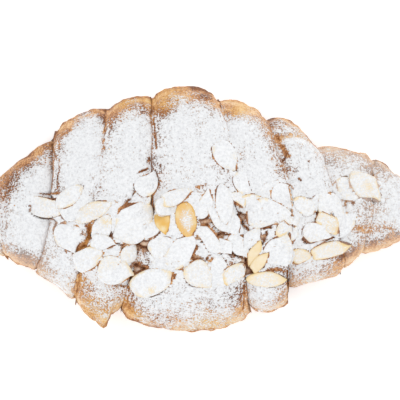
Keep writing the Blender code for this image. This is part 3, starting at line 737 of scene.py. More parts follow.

# %% [markdown]
# ## Cracks
# Between the almonds and along the seams the sugar has broken away or fallen in, and the dough
# shows in short, crooked lines, golden, or dark with painted shadow. They could be cut with a knife
# tool, but here too a table is easier to change: each is a line through a few points, with half its
# width, how dark it is (1 is a deep painted shadow) and how golden. Noise makes the line wander and
# breaks its edge.

# %% Cracks, where the sugar has broken away or fallen in
Crack = namedtuple("Crack", "way half dark gold", defaults=(0,))
CRACKS = [Crack(*row) for row in (
    (((-66.4, 6.1), (-55.8, 6.6)), 0.6, 0.5),
    (((-69.7, 1.2), (-59.0, -4.9), (-60.3, -9.0)), 0.4, 0.8),
    (((-59.9, 27.5), (-60.7, 7.8)), 0.3, 0.6),
    (((-57.8, 26.2), (-58.2, 8.6)), 0.3, 0.6),
    (((-59.4, -9.4), (-56.2, -5.3)), 0.4, 0.8),
    (((-57.4, -11.9), (-54.5, -17.6)), 0.4, 0.8),
    (((-49.6, -25.0), (-51.7, -37.3)), 1.0, 0.6, 0.9),
    (((-46.7, 0.4), (-43.9, 2.9)), 0.5, 1.0),
    (((-45.9, -6.8), (-45.6, -10.6), (-47.2, -14.0), (-51.1, -17.9)), 2.1, 0.55, 1.0),
    (((-45.1, -8.2), (-39.8, -8.2)), 1.5, 0.4, 0.2),
    (((-41.4, -26.2), (-38.1, -29.9), (-31.6, -31.2)), 0.4, 0.7),
    (((-41.0, -15.6), (-38.9, -19.7)), 0.4, 0.9),
    (((-39.4, 39.8), (-39.4, 24.2)), 0.4, 0.6),
    (((-33.2, -15.6), (-32.8, -21.7)), 0.5, 0.9),
    (((-32.0, 1.6), (-28.7, 3.7), (-21.3, 4.1), (-17.6, 10.2)), 0.5, 0.9),
    (((-28.3, -13.1), (-18.9, -16.8)), 0.9, 0.9),
    (((-28.3, -21.7), (-22.1, -23.8)), 1.5, 0.9),
    (((-27.1, -24.6), (-29.9, -31.2)), 0.8, 0.6),
    (((-25.4, 15.2), (-21.3, 16.4), (-21.7, 20.9)), 0.5, 0.9),
    (((-20.1, 41.4), (-18.4, 24.2)), 0.4, 0.6),
    (((-15.6, -22.5), (-11.9, -24.2), (-6.6, -21.7)), 0.4, 0.9),
    (((-5.7, -20.5), (0.8, -21.7), (2.9, -18.4), (7.8, -18.4)), 0.6, 1.0),
    (((-2.0, -7.8), (-1.2, -13.9), (-2.9, -18.9)), 0.4, 0.9),
    (((-1.6, -5.3), (2.0, -6.6)), 1.6, 0.7),
    (((-2.5, 8.6), (1.2, 9.8)), 0.8, 0.7),
    (((2.5, -2.9), (7.4, -10.2), (13.9, -9.8)), 0.4, 0.8),
    (((4.5, 25.0), (5.3, 20.1), (8.6, 16.4)), 0.4, 0.9),
    (((8.6, -25.0), (11.9, -21.7)), 0.7, 0.6),
    (((12.3, -18.9), (16.0, -15.6)), 0.5, 0.8),
    (((13.9, 2.5), (15.6, -3.7), (18.9, -7.8)), 0.6, 0.9),
    (((14.3, 12.7), (16.0, 13.9)), 0.6, 1.0),
    (((17.2, -30.3), (16.8, -40.6)), 0.5, 0.9),
    (((19.7, -25.4), (34.4, -24.2)), 0.9, 0.5),
    (((22.1, -7.8), (28.3, -7.4)), 0.7, 0.8),
    (((26.2, -9.4), (23.0, -15.6)), 0.6, 0.9),
    (((30.3, 29.5), (31.5, 26.0), (34.9, 21.7)), 1.4, 0.62),
    (((34.4, 21.3), (32.0, 17.6)), 0.5, 0.9),
    (((34.4, -24.2), (36.1, -36.5)), 0.6, 0.7),
    (((26.0, 10.3), (27.0, 9.4)), 0.3, 0.9),
    (((32.5, 15.6), (38.5, 15.3)), 0.2, 0.5),
    (((33.9, 8.6), (35.6, 7.6)), 0.3, 0.9),
    (((35.3, 1.6), (38.9, 4.5), (45.1, 3.7)), 0.4, 0.5),
    (((39.5, 12.6), (40.5, 11.6)), 0.4, 1.0),
    (((42.3, 19.4), (43.6, 18.6)), 0.3, 0.8),
    (((45.1, -16.0), (49.2, -13.1), (55.8, -10.2)), 0.5, 0.8),
    (((46.7, -0.4), (46.3, -5.3)), 0.5, 0.7),
    (((52.9, 10.2), (59.4, 13.1)), 0.7, 0.6),
    (((59.0, -7.0), (64.8, -8.2), (70.5, -8.0), (77.9, -6.1)), 2.4, 0.14),
    (((57.0, 4.9), (61.5, 2.5)), 0.6, 0.9),
    (((57.8, 3.7), (59.0, -2.5)), 0.8, 0.4),
)]
print(len(CRACKS), "cracks, the widest", 2 * max(this.half for this in CRACKS), "mm wide")

# %% [markdown]
# ## Finding the cracks on the crust
# A crack could be cut into the mesh as edges, but the grid is fine enough to carry it as numbers.
# Each point asks how far the nearest piece of each line is. Within about half the width it is in
# the crack, and a soft edge that grows with the width keeps wide cracks from looking stamped. Narrow
# ones are interrupted by noise, and wide ones are grainy inside.

# %% Distance from each crack
CRACK_WANDER = 0.6
CRACK_FOOT = 5.0  # no crack below this height, in mm
CRACK_CORE, SOFT_LEAST, SOFT_BY_WIDTH = 0.7, 0.15, 0.35  # shares of the half width, and mm
GRAINY_LEAST = 0.45
SPECKS_REACH = 3.5  # the sugar is thinner within this distance of a crack


def away_from(way):
    """Distance in mm from a line of straight pieces. The nearest place on a piece from a to b is at the
    share (p - a).(b - a) / |b - a|^2, kept between 0 and 1, and the nearest piece counts. Noise is
    added to p first, so that the line wanders."""
    x = roll[..., 0] + CRACK_WANDER * noise(roll, 3.0, 38)
    y = roll[..., 1] + CRACK_WANDER * noise(roll, 3.0, 39)
    nearest = np.full(x.shape, NONE_NEAR)
    for (ax, ay), (bx, by) in zip(way, way[1:]):
        share = ((x - ax) * (bx - ax) + (y - ay) * (by - ay)) / ((bx - ax) ** 2 + (by - ay) ** 2)
        share = np.clip(share, 0, 1)
        nearest = np.minimum(nearest, np.hypot(x - ax - share * (bx - ax), y - ay - share * (by - ay)))
    return nearest


crack, crack_dark, crack_gold, specks_near = (np.zeros(roll.shape[:2]) for _ in range(4))
uneven = smooth(-0.7, 0.0, noise(roll, 2.6, 40))
grainy = GRAINY_LEAST + (1 - GRAINY_LEAST) * smooth(-0.3, 0.4, noise(roll, 1.5, 43))
for this in CRACKS:
    away = away_from(this.way)
    reach, soft = CRACK_CORE * this.half, SOFT_LEAST + SOFT_BY_WIDTH * this.half
    here = smooth(reach + soft, reach - soft, away) * (roll[..., 2] > CRACK_FOOT)
    here = here * (uneven if this.half < 1 else np.maximum(grainy, this.gold))
    crack = np.maximum(crack, here)
    crack_dark = np.maximum(crack_dark, here * this.dark)
    crack_gold = np.maximum(crack_gold, here * this.gold)
    specks_near = np.maximum(specks_near, smooth(SPECKS_REACH, 0.0, away))
print("share of the crust in cracks:", mean_of(crack))

# %% [markdown]
# ## Where the sugar lies
# Sieved sugar falls straight down. It covers what looks up and is open to the sky, thins out on the
# shoulders, and leaves the rim, the seams and the gaps between the almonds bare. The front of this
# croissant got less than its back. A painted mask would fit one view only. So the cover is one
# number a point, and the material later breaks it into specks: at 0.84 nearly all is white, and at
# 0.5 half is. Each table has one value for each band: the most cover, the least, and where across
# the roll it begins and ends to fade, as shares of the half width.

# %% How much sugar lies on each point
MOST = (0.86, 0.86, 0.83, 0.86, 0.84, 0.86, 0.82, 0.70, 0.70)
LEAST = (0.14, 0.19, 0.24, 0.22, 0.26, 0.30, 0.30, 0.27, 0.27)
FRONT_FADE = (
    (0.52, 0.52, 0.55, 0.45, 0.68, 0.62, 0.32, 0.50, 0.50),
    (1.03, 1.03, 1.05, 1.03, 1.06, 1.10, 1.00, 0.90, 0.90),
)
BACK_FADE = (
    (0.30, 0.47, 0.68, 0.68, 0.76, 0.64, 0.76, 0.60, 0.55),
    (0.66, 0.92, 1.00, 0.96, 0.95, 0.97, 1.00, 1.05, 1.05),
)
FADE_POWER, FADE_UNEVEN = 1.6, 0.06
PATCHY, PATCHY_FINE = 0.15, 0.07
THIN_AT_LIP, THIN_AT_GROOVE, THIN_AT_CRACK = 0.16, 0.08, 0.08
RUBBED_OFF, HEAPED_ON = 0.4, 0.2
SEAM_BARE, PLY_BARE, CREASE_BARE, GOLD_BARE = 0.6, 0.45, 0.4, 0.9


def per_band(values):
    """The value of each column's band, ready to spread over the rows."""
    return np.take(values, column_band)[:, None]


outward = np.abs(roll[..., 1] + MIDLINE)
outward_share = outward / outward.max(axis=1, keepdims=True)
is_front, is_back = roll[..., 1] < 0, roll[..., 1] > 0
patchy = rough(roll, 16.0, 3, 31)
starts, stops = (
    np.where(is_front, per_band(front), per_band(back)) for front, back in zip(FRONT_FADE, BACK_FADE)
)
shoulder = (outward_share + FADE_UNEVEN * patchy - starts) / (stops - starts)
cover = per_band(MOST) - (per_band(MOST) - per_band(LEAST)) * np.clip(shoulder, 0, 1) ** FADE_POWER
beside_seam = THIN_AT_LIP * smooth(10, 1, from_lip) + THIN_AT_GROOVE * smooth(5, 1, from_groove)
cover = cover - beside_seam - THIN_AT_CRACK * specks_near
cover = cover + PATCHY * patchy + PATCHY_FINE * noise(roll, 3.5, 35)
seam_bare = np.maximum(smooth(0.9, 0.2, from_groove), 0.8 * smooth(0.8, 0.1, from_lip)) * seam_open
cover = cover - RUBBED_OFF * crust_spots(RUBBED_PATCHES) + HEAPED_ON * crust_spots(HEAPED_PATCHES)
cover = cover - SEAM_BARE * seam_bare - PLY_BARE * ply_line - CREASE_BARE * crease
cover = cover - np.maximum(crack_dark, GOLD_BARE * crack_gold)
sugar = np.clip(cover * smooth(-0.25, 0.25, looks_up), 0, 1)
print("mean sugar cover:", mean_of(sugar[:, :DOME_ROWS]))

# %% [markdown]
# ## How brown the crust is, with painted shade
# The oven browns what faces it, and the tray browns the foot. Where the surface turns sideways or
# down, it is darkened further as painted shade. Seams, plies and cracks are darker, from their own
# shadow, painted in here, and from the egg wash that ran into them. The right tail is paler, and a
# thin veil of the finest sugar lies on it that never breaks into specks. Both are one number a
# point, as the sugar is: a photo of a crust would carry its own light with it.

# %% Toast with painted shade, and veil
TOAST, TOAST_TOP, SIDE_SHADE = 0.36, 0.5, 0.45
TOAST_UNEVEN, TOAST_FINE = 0.28, 0.16
FRONT_PALE, GOLD_PALE, CREASE_PALE = 0.12, 0.08, 0.1
SEAM_BROWN, PLY_BROWN = 0.3, 0.35
CRACK_BROWN, CRACK_DARKER = 0.3, 0.75
TOAST_LESS = (-0.06, -0.04, 0.0, 0.05, 0.02, 0.08, 0.06, 0.14, 0.14)
RIM_BROWN_BACK, RIM_PALE, RIM_UNEVEN = 0.06, 0.02, 0.22
TRAY_BROWN, TRAY_REACH = 0.15, 3.0
VEIL = (0.02, 0.02, 0.02, 0.02, 0.02, 0.06, 0.12, 0.38, 0.38)
VEIL_AT_BACK, VEIL_FRONT_LEFT = 0.4, 0.3

# The last term darkens the dough where the surface turns sideways or down: painted shade on the steep sides.
toast_and_shade = TOAST + TOAST_TOP * smooth(0.3, 0.95, looks_up) + SIDE_SHADE * smooth(0.25, 0.0, looks_up)
toast_and_shade = toast_and_shade - FRONT_PALE * is_front * smooth(0.6, 0.9, outward_share)
toast_and_shade = toast_and_shade + TOAST_UNEVEN * rough(roll, 9.0, 3, 41) + TOAST_FINE * noise(roll, 3.2, 42)
toast_and_shade = toast_and_shade + SEAM_BROWN * seam_bare + PLY_BROWN * ply_line * seam_open - CREASE_PALE * crease
# Inside a crack the dough is browner, and a dark crack is darkened further as painted shadow.
toast_and_shade = toast_and_shade * (1 - crack) + crack * (CRACK_BROWN + CRACK_DARKER * crack_dark)
toast_and_shade = toast_and_shade - per_band(TOAST_LESS) * (1 - crack) - GOLD_PALE * gold_here
rim_brown = RIM_BROWN_BACK * is_back - RIM_PALE + RIM_UNEVEN * noise(roll, 2.2, 44)
toast_and_shade = toast_and_shade + smooth(0.8, 0.95, outward_share) * rim_brown
toast_and_shade = toast_and_shade + TRAY_BROWN * smooth(TRAY_REACH, 0.0, roll[..., 2])
by_depth = VEIL_AT_BACK + (1 - VEIL_AT_BACK) * smooth(-16, -2, roll[..., 1])
veil = per_band(VEIL) * by_depth * (1 - crack)
veil = (veil + VEIL_FRONT_LEFT * is_front * smooth(-48, -62, roll[..., 0])) * smooth(0.0, 0.35, looks_up)
print("mean toast:", mean_of(toast_and_shade))

# %% [markdown]
# ## Pushing the points out
# Now the grid gets its relief. Every layer of it is a length in millimetres along the normal:
# wrinkles and blisters of the crust, the jagged rim, the sugar's own thickness, and the sugar that
# fills the shut seams. Adding them up first and moving the points once keeps the layers from
# fighting each other, as a stack of Displace modifiers would. The foot stays flat on the tray.

# %% Push the points out
WRINKLE, BLISTER, GRIT = 0.34, 0.25, 0.10
RAGGED, RAGGED_FINE, RIM_IN, CORNER = 0.9, 0.3, 0.5, 1.0
DRIFT, DRIFT_UNEVEN, DRIFT_FINE = 0.30, 0.16, 0.10
SEAM_FILL, TAIL_FILL = 1.9, 1.1
NOTCH_FILL, NOTCH_REACH = 2.1, 2.8
FOOT, FOOT_IN = 3.0, 0.5  # below the first height the foot is tucked in by the second
push = WRINKLE * rough(roll, 8.0, 3, 51) + BLISTER * np.maximum(noise(roll, 3.2, 52), 0) ** 2
push = push + GRIT * noise(roll, 1.4, 53)
at_rim = smooth(0.8, 1.0, outward_share)
push = push + at_rim * (RAGGED * noise(roll, 4.5, 56) + RAGGED_FINE * noise(roll, 1.9, 57))
push = push - at_rim * (RIM_IN + CORNER * smooth(4.0, 0.0, from_lip))
push = push + sugar * (DRIFT + DRIFT_UNEVEN * noise(roll, 2.2, 54) + DRIFT_FINE * noise(roll, 1.0, 55))
filled = (1 - seam_open) * smooth(3.6, 0.2, from_groove) * smooth(0.2, 0.6, looks_up)
push = push + (SEAM_FILL + TAIL_FILL * smooth(60, 66, roll[..., 0])) * filled
notch = NOTCH_FILL * np.clip(1 - from_groove / NOTCH_REACH, 0, 1) ** 2 + smooth(1.2, 0.0, from_lip)
push = push + at_rim * is_back * notch
push = push + plies
on_tray = smooth(0.0, 2.5, roll[..., 2])
fine = roll + normals * (push * on_tray)[..., None]
standing = fine[..., 2] > FOOT
front_foot = np.where(standing, fine[..., 1], np.inf).min(axis=1, keepdims=True) + FOOT_IN
back_foot = np.where(standing, fine[..., 1], -np.inf).max(axis=1, keepdims=True) - FOOT_IN
fine[..., 1] = np.where(standing, fine[..., 1], np.clip(fine[..., 1], front_foot, back_foot))
print("pushed out by", push.min().round(1), "to", push.max().round(1), "mm")

# %% [markdown]
# ## Gaps between the almonds
# Sugar that falls on a heap of almonds bridges the narrow gaps, and drops into the wide ones. So
# the next cell asks of each dome point whether a slice is over it, how far the next outline is, and
# how crowded it is. Gaps open where a smooth noise and the pockets of the table wish it, close to
# an outline, and less often towards the back and the right, where the sugar is thickest.

# %% Where the gaps are open
TAIL_OUTER = 0.2  # the heap ends sooner towards the right tip
POCKET_REACH, POCKET_OPEN = 2.7, 1.3
GAP_NOISE, GAP_SHUT, SHUT_BACK, SHUT_RIGHT = 0.3, 0.26, 0.25, 0.2
GAP_REACH, CROWDED_REACH, POCKET_WIDER = 0.6, 1.0, 1.5
BARE_SPOTS = ((-20.3, -32.5, 2.2), (57.5, -14.2, 2.4), (68.0, 9.0, 2.2), (-39.0, -5.0, 2.4))
ON_DOME = np.s_[:, :DOME_ROWS]

dome_part = fine[ON_DOME]  # a view: what moves it moves the fine grid
seen = seen_from_above(dome_part.reshape(-1, 3))
top, top_dust, beside, crowd = (v.reshape(dome_part.shape[:2]) for v in seen)
under = top > dome_part[..., 2]
surface = np.maximum(top, dome_part[..., 2])
outer = outward_share[ON_DOME] + TAIL_OUTER * smooth(48, 56, dome_part[..., 0])
among = smooth(4.5, 2.5, beside) * smooth(0.86, 0.72, outer)
pockets = crust_spots([(x, y, POCKET_REACH) for x, y in POCKETS])[ON_DOME]
wish_open = noise(dome_part, 6.0, 58) + GAP_NOISE * noise(dome_part, 2.5, 59)
wish_open = wish_open + POCKET_OPEN * pockets - GAP_SHUT
wish_open = wish_open - SHUT_BACK * smooth(-5, 12, dome_part[..., 1])
wish_open = wish_open - SHUT_RIGHT * smooth(15, 45, dome_part[..., 0])
gap_reach = GAP_REACH + CROWDED_REACH * smooth(1.4, 2.4, crowd) + POCKET_WIDER * pockets
gap = smooth(0.0, 0.3, wish_open) * smooth(1.0, 0.6, beside / gap_reach) * ~under
split = crack[ON_DOME] * ~under
opened = np.maximum(gap, split)
print("share of the dome under slices:", mean_of(under), "and open:", mean_of(opened))

# %% [markdown]
# ## The drift over and between the almonds
# The rest of the heap wears one blanket of sugar. A cloth simulation could drape it, but a blurred
# copy of the heights does the same in a moment: it bridges the small gaps and rounds off the steps.
# Where the blanket is above a slice, that slice is buried, and a bare slice presses it down. Below
# a slice the crust hides just under it, and in a gap it dips, so that the gap has real depth.

# %% The blanket of sugar
BLUR_ROUNDS, BLANKET_UNEVEN, BLANKET_FINE = 8, 0.14, 0.06
BARE_SLICE_DOWN, DUSTED_UP, SHOWN_DOWN = 0.75, 0.85, 0.9
OVER_SLICE_MOST, FILL_MOST, HIDE_BELOW = 0.5, 2.2, 0.5
GAP_DEEPER, SPLIT_DEEPER, DARK_DEEPER = 1.3, 0.2, 0.7


def blurred(grid, rounds):
    """The grid after rounds of averaging each value with its neighbours, by 1, 2, 1 along each axis."""
    for _ in range(rounds):
        inner = np.pad(grid, 1, mode="edge")
        grid = (inner[:-2, 1:-1] + 2 * grid + inner[2:, 1:-1]) / 4
        inner = np.pad(grid, 1, mode="edge")
        grid = (inner[1:-1, :-2] + 2 * grid + inner[1:-1, 2:]) / 4
    return grid


shown = crust_spots(BARE_SPOTS)[ON_DOME]
blanket = blurred(surface, BLUR_ROUNDS)
blanket = blanket + BLANKET_UNEVEN * noise(dome_part, 2.4, 60) + BLANKET_FINE * noise(dome_part, 1.1, 61)
blanket = blanket + np.where(under, -BARE_SLICE_DOWN + DUSTED_UP * top_dust - SHOWN_DOWN * shown, 0.0)
lifted = np.minimum(blanket, surface + np.where(under, OVER_SLICE_MOST, FILL_MOST))
bare = dome_part[..., 2] - GAP_DEEPER * gap - (SPLIT_DEEPER + DARK_DEEPER * crack_dark[ON_DOME]) * split
filled_height = np.maximum(lifted, dome_part[..., 2]) * among + dome_part[..., 2] * (1 - among)
beside_height = filled_height * (1 - opened) + bare * opened
under_height = np.maximum(np.where(blanket > top, lifted, top - HIDE_BELOW), dome_part[..., 2])
new_height = np.where(under, under_height, beside_height)
powdered = np.where(
    under,
    smooth(-0.15, 0.1, blanket - top),
    smooth(0.1, 0.8, filled_height - dome_part[..., 2]) * (1 - opened),
)
raised_by = new_height - dome_part[..., 2]
dome_part[..., 0] -= column_lean[:, None] * smooth(0.2, 0.8, raised_by)
dome_part[..., 2] = new_height
print("share of the dome powdered:", mean_of(powdered), "raised by up to", raised_by.max().round(1), "mm")

# %% [markdown]
# ## Sugar and shade in the heap
# The blanket is white, the open gaps are not, and right beside a slice a gap is darkest, because
# little light gets in there. A renderer finds some of that shadow by itself. The rest is in the
# toast, because real gaps are narrower and deeper than a grid of this size can be. Further out in a
# gap, a little sugar has sifted down and greys the dough.

# %% Sugar, veil, toast with painted shade, and gold in the heap
BLANKET_COVER, SHELTERED_COVER = 0.98, 0.95
SIFTED, SIFTED_UNEVEN = 0.55, 0.3
GAP_SHADE, EDGE_SHADE = 0.08, 0.95
GOLD_UNDER_SUGAR, GOLD_IN_GAP = 0.5, 0.1
sugar_top, veil_top, toast_and_shade_top, golden_top = (grid[ON_DOME] for grid in (sugar, veil, toast_and_shade, golden))
open_gap = gap * (1 - split)
sheltered = np.maximum(sugar_top, SHELTERED_COVER * among * smooth(1.0, 1.8, crowd) * (1 - split))
sugar_top[:] = np.maximum(sheltered * (1 - gap) * ~under, BLANKET_COVER * powdered)
sifted = (SIFTED + SIFTED_UNEVEN * noise(dome_part, 2.0, 62)) * smooth(0.25, 0.9, beside)
veil_top[:] = np.maximum(veil_top, sifted * gap * (1 - split))
shaded = (GAP_SHADE + EDGE_SHADE * smooth(1.0, 0.2, beside)) * gap * (1 - split)
toast_and_shade_top[:] = toast_and_shade_top * (1 - powdered * under) * (1 - open_gap) + shaded
gold_in_heap = GOLD_UNDER_SUGAR * powdered * under + GOLD_IN_GAP * gap + crack_gold[ON_DOME]
golden_top[:] = np.maximum(golden_top, gold_in_heap)
print("mean sugar cover in the heap:", mean_of(sugar_top[among > 0.5]))

# %% [markdown]
# ## Closing the crust
# The grid is a tube, open at both tips. A fan of triangles from one point closes each end, as the
# pole closes a sphere. Merging the last ring to one point would do it too, but would leave quads of
# no width. All faces are triangles, wound so that they face outwards. The UV map follows the dough,
# round and along the roll, so that the grain of the layers can too.

# %% Close the tips and make the mesh
GRAIN_SCALE, TIP_TOAST = 10, 0.4
fine[..., 2] = np.where(roll[..., 2] <= 0, 0, np.maximum(fine[..., 2], 0))
fine[..., 0] = np.clip(fine[..., 0], -HALF_LENGTH, HALF_LENGTH)
n_columns, n_rows = fine.shape[:2]
row = np.arange(n_rows)
next_row = (row + 1) % n_rows
here = np.arange(n_columns - 1)[:, None] * n_rows
quads = np.stack(
    [here + row, here + n_rows + row, here + n_rows + next_row, here + next_row], axis=-1
).reshape(-1, 4)
last = (n_columns - 1) * n_rows
left_tip, right_tip = n_columns * n_rows, n_columns * n_rows + 1
left_cap = np.stack([np.full(n_rows, left_tip), row, next_row], axis=1)
right_cap = np.stack([np.full(n_rows, right_tip), last + next_row, last + row], axis=1)
crust_faces = np.concatenate([quads[:, [0, 1, 2]], quads[:, [0, 2, 3]], left_cap, right_cap])


def with_tips(values, tips):
    """The grid's values as one row a point, with the two tips after them."""
    return np.concatenate([values.reshape(n_columns * n_rows, -1), tips])


tips = np.array([fine[0].mean(axis=0), fine[-1].mean(axis=0)])
tips[:, 0] = (-HALF_LENGTH, HALF_LENGTH)
two = np.zeros((2, 1))
arc = np.cumsum(np.linalg.norm(np.roll(roll, -1, axis=1) - roll, axis=-1), axis=1)
grain = np.stack([arc, roll[..., 0]], axis=-1) / GRAIN_SCALE
crust = mesh_from(
    "crust",
    with_tips(fine, tips),
    crust_faces,
    {
        "sugar": with_tips(sugar, two),
        "toast_and_shade": with_tips(toast_and_shade, two + TIP_TOAST),
        "golden": with_tips(golden, two),
        "veil": with_tips(veil, two),
    },
    with_tips(grain, np.zeros((2, 2))),
)

# %% [markdown]
# ## The almond slices
# Each slice is a disc of rings and spokes, bent as it lies. Real ones are never quite even: their
# outline wavers and their edge is chipped. A Boolean could cut the chips, but with a polar outline
# a straight chip is one formula, k / cos, and the smaller radius wins. The sugar on top makes a
# soft mound, so the faces are a little grainy.

# %% Slices as rings and spokes
RINGS = np.array([0.0, 0.28, 0.52, 0.72, 0.86, 0.95, 1.0])
EDGE_DROP = np.array([0.0, 0.0, 0.0, 0.0, 0.03, 0.10, 0.32])  # how far the upper face falls there
SPOKES = 36
OUTLINE_WAVER, WAVES = 0.08, ((0.5, 2), (0.35, 3), (0.3, 5))  # share of the waver, waves round the slice
CHIPS_BROKEN, CHIPS_WHOLE, CHIP_KEEP = 3, 1, (0.72, 1.08)
FACE_GRAIN, FACE_FINE = 0.06, 0.05
FIRST_SEED = 100
spoke_angle = np.arange(SPOKES) * 2 * pi / SPOKES


def slice_points(almond, plane, number):
    """Points and ring shares of both faces: rings of the outline, which wavers as three sines and is
    chipped straight at k / cos(a - direction), on the slice's plane plus its arch. The upper face lies
    a thickness above the lower one and is rounded off at the edge."""
    random = np.random.default_rng(FIRST_SEED + number)
    phase = random.uniform(0, 2 * pi, 3)
    sines = (share * np.sin(waves * spoke_angle + shift) for (share, waves), shift in zip(WAVES, phase))
    waver = 1 + OUTLINE_WAVER * sum(sines)
    for _ in range(CHIPS_BROKEN if almond.keep < 1 else CHIPS_WHOLE):
        towards_chip = np.cos(spoke_angle - random.uniform(0, 2 * pi))
        waver = np.minimum(waver, random.uniform(*CHIP_KEEP) / np.maximum(towards_chip, 0.05))
    ring = RINGS[1:, None] * np.ones(SPOKES)
    along, across = slice_outline(almond, spoke_angle[None, :], ring * waver)
    along, across, ring = (np.append(v.ravel(), 0) for v in (along, across, ring))
    drop = np.append(np.repeat(EDGE_DROP[1:], SPOKES), 0)
    dx, dy = turned(almond, along, across)
    level, slope_x, slope_y = plane
    z = level + slope_x * dx + slope_y * dy + slice_arch(almond, along, across)
    lower = np.stack([almond.x + dx, almond.y + dy, z], axis=1)
    normal = np.array([-slope_x, -slope_y, 1.0]) / np.sqrt(1 + slope_x**2 + slope_y**2)
    grainy = FACE_GRAIN * noise(lower, 2.0, 61) + FACE_FINE * noise(lower, 1.0, 62)
    upper = lower + normal * (ALMOND_THICK * (1 - drop) + grainy)[:, None]
    return np.concatenate([lower, upper]), np.concatenate([ring, ring])


points, ring = slice_points(slices[-1], planes[-1], len(slices) - 1)
print("the last slice reaches up to", points[:, 2].max().round(1), "mm")

# %% [markdown]
# ## Joining the rings
# The two faces of a slice have the same points in the same order, so their triangles are worked out
# once and used for every slice. Solidify would add a wall as well, but it would make the edge as
# thick as the middle. The lower face is wound the other way round, so that it faces down.

# %% Triangles of a slice
def disc_faces():
    """Triangles of a disc whose centre comes last, then the same disc above it, and the wall that
    joins their edges."""
    count = (len(RINGS) - 1) * SPOKES + 1
    spoke = np.arange(SPOKES)
    after = (spoke + 1) % SPOKES
    rows = [np.stack([np.full(SPOKES, count - 1), spoke, after], axis=1)]
    for ring in range(len(RINGS) - 2):
        a, b = ring * SPOKES, (ring + 1) * SPOKES
        rows.append(np.stack([a + spoke, b + spoke, b + after], axis=1))
        rows.append(np.stack([a + spoke, b + after, a + after], axis=1))
    disc = np.concatenate(rows)
    edge = (len(RINGS) - 2) * SPOKES
    wall = [
        np.stack([edge + spoke, edge + after, count + edge + after], axis=1),
        np.stack([edge + spoke, count + edge + after, count + edge + spoke], axis=1),
    ]
    return np.concatenate([disc + count, disc[:, ::-1], *wall]), count


faces_one, half = disc_faces()
print("each slice has", 2 * half, "points and", len(faces_one), "triangles")

# %% [markdown]
# ## Dust and tone of the slices
# The same sieve passed over the slices, so their upper faces are white where they lie open, and
# cream or golden at a bare rim and where another slice shields them. Where another slice lies over
# them, and just beside its edge, their tone is deepened as painted shade. Every slice could have its
# own material, but numbers stored on the points let one material serve them all: how much sugar, how
# golden with that painted shade, and how near the rim.

# %% One mesh of all the slices
DUST_LEAST, DUST_BY_SLICE, DUST_PATCHY, DUST_LESS_RIGHT = 0.32, 0.6, 0.3, 0.06
RIM_BARE_MORE, RIM_WAVER, RIM_DUSTLESS = 0.8, 0.18, 0.9
SPOT_DUSTLESS, TOASTED_DUSTLESS = 0.6, 0.5
STREAKS, FINE_STREAKS, UNDER_SLICE_SHADE, SPOT_TONE = 0.4, 0.3, 0.25, 0.2
parts, rims, tones_and_shade, dusts = [], [], [], []
for number, (almond, plane) in enumerate(zip(slices, planes)):
    points, ring = slice_points(almond, plane, number)
    is_upper = np.arange(len(points)) >= half
    covered = hidden_by(points, number + 1, 0.9, 1.06)
    bare_here = 1.0 - almond.dust + RIM_BARE_MORE * smooth(0.1, 0.6, noise(points, 5.0, 64))
    bare_rim = smooth(0.78, 0.97, ring + RIM_WAVER * noise(points, 2.0, 63)) * bare_here
    bare_rim = np.clip(bare_rim, 0, 1)
    spot = spots(points, BARE_SPOTS)
    dust = (DUST_LEAST + DUST_BY_SLICE * almond.dust) * (almond.dust > 0) * is_upper
    dust = dust - DUST_PATCHY * smooth(0.1, 0.7, noise(points, 7.0, 65))
    dust = dust - DUST_LESS_RIGHT * smooth(34, 42, points[:, 0])
    dust = dust - TOASTED_DUSTLESS * smooth(0.6, 1.0, almond.tone) * smooth(0.35, 0.7, ring)
    dust = dust * (1 - covered) * (1 - RIM_DUSTLESS * bare_rim) * (1 - SPOT_DUSTLESS * spot)
    streaks = STREAKS * noise(points, 2.6, 66) + FINE_STREAKS * noise(points, 1.2, 67)
    parts.append(points)
    rims.append(ring)
    # Under another slice and just beside its edge the tone is raised: painted shade.
    tones_and_shade.append(almond.tone * (1 + streaks) + UNDER_SLICE_SHADE * covered + SPOT_TONE * spot)
    dusts.append(dust)
shifts = np.arange(len(slices))[:, None, None] * (2 * half)
almonds = mesh_from(
    "sliced_almonds",
    np.concatenate(parts),
    (faces_one[None] + shifts).reshape(-1, 3),
    {"sugar": np.concatenate(dusts), "tone": np.concatenate(tones_and_shade), "rim": np.concatenate(rims)},
)

# %% [markdown]
# ## Clumps and crumbs
# Icing sugar clings together in small clumps, and flaky crust sheds crumbs. Each is a rough little
# stone: the twelve corners of an icosahedron, moved and flattened at random. A particle system
# would scatter them too, but its grains would be lost in an export, so they are real meshes.

# %% A mesh of little stones
PHI = (1 + 5**0.5) / 2  # the golden ratio, which the icosahedron's corners are built on
STONE = np.array(
    [(-1, PHI, 0), (1, PHI, 0), (-1, -PHI, 0), (1, -PHI, 0)]
    + [(0, -1, PHI), (0, 1, PHI), (0, -1, -PHI), (0, 1, -PHI)]
    + [(PHI, 0, -1), (PHI, 0, 1), (-PHI, 0, -1), (-PHI, 0, 1)]
) / np.hypot(1, PHI)
STONE_FACES = np.array(
    [(0, 11, 5), (0, 5, 1), (0, 1, 7), (0, 7, 10), (0, 10, 11), (1, 5, 9), (5, 11, 4), (11, 10, 2)]
    + [(10, 7, 6), (7, 1, 8), (3, 9, 4), (3, 4, 2), (3, 2, 6), (3, 6, 8), (3, 8, 9), (4, 9, 5)]
    + [(2, 4, 11), (6, 2, 10), (8, 6, 7), (9, 8, 1)]
)
CORNER_MOVES, SIDE_STRETCH = (0.66, 1.15), (0.75, 1.3)


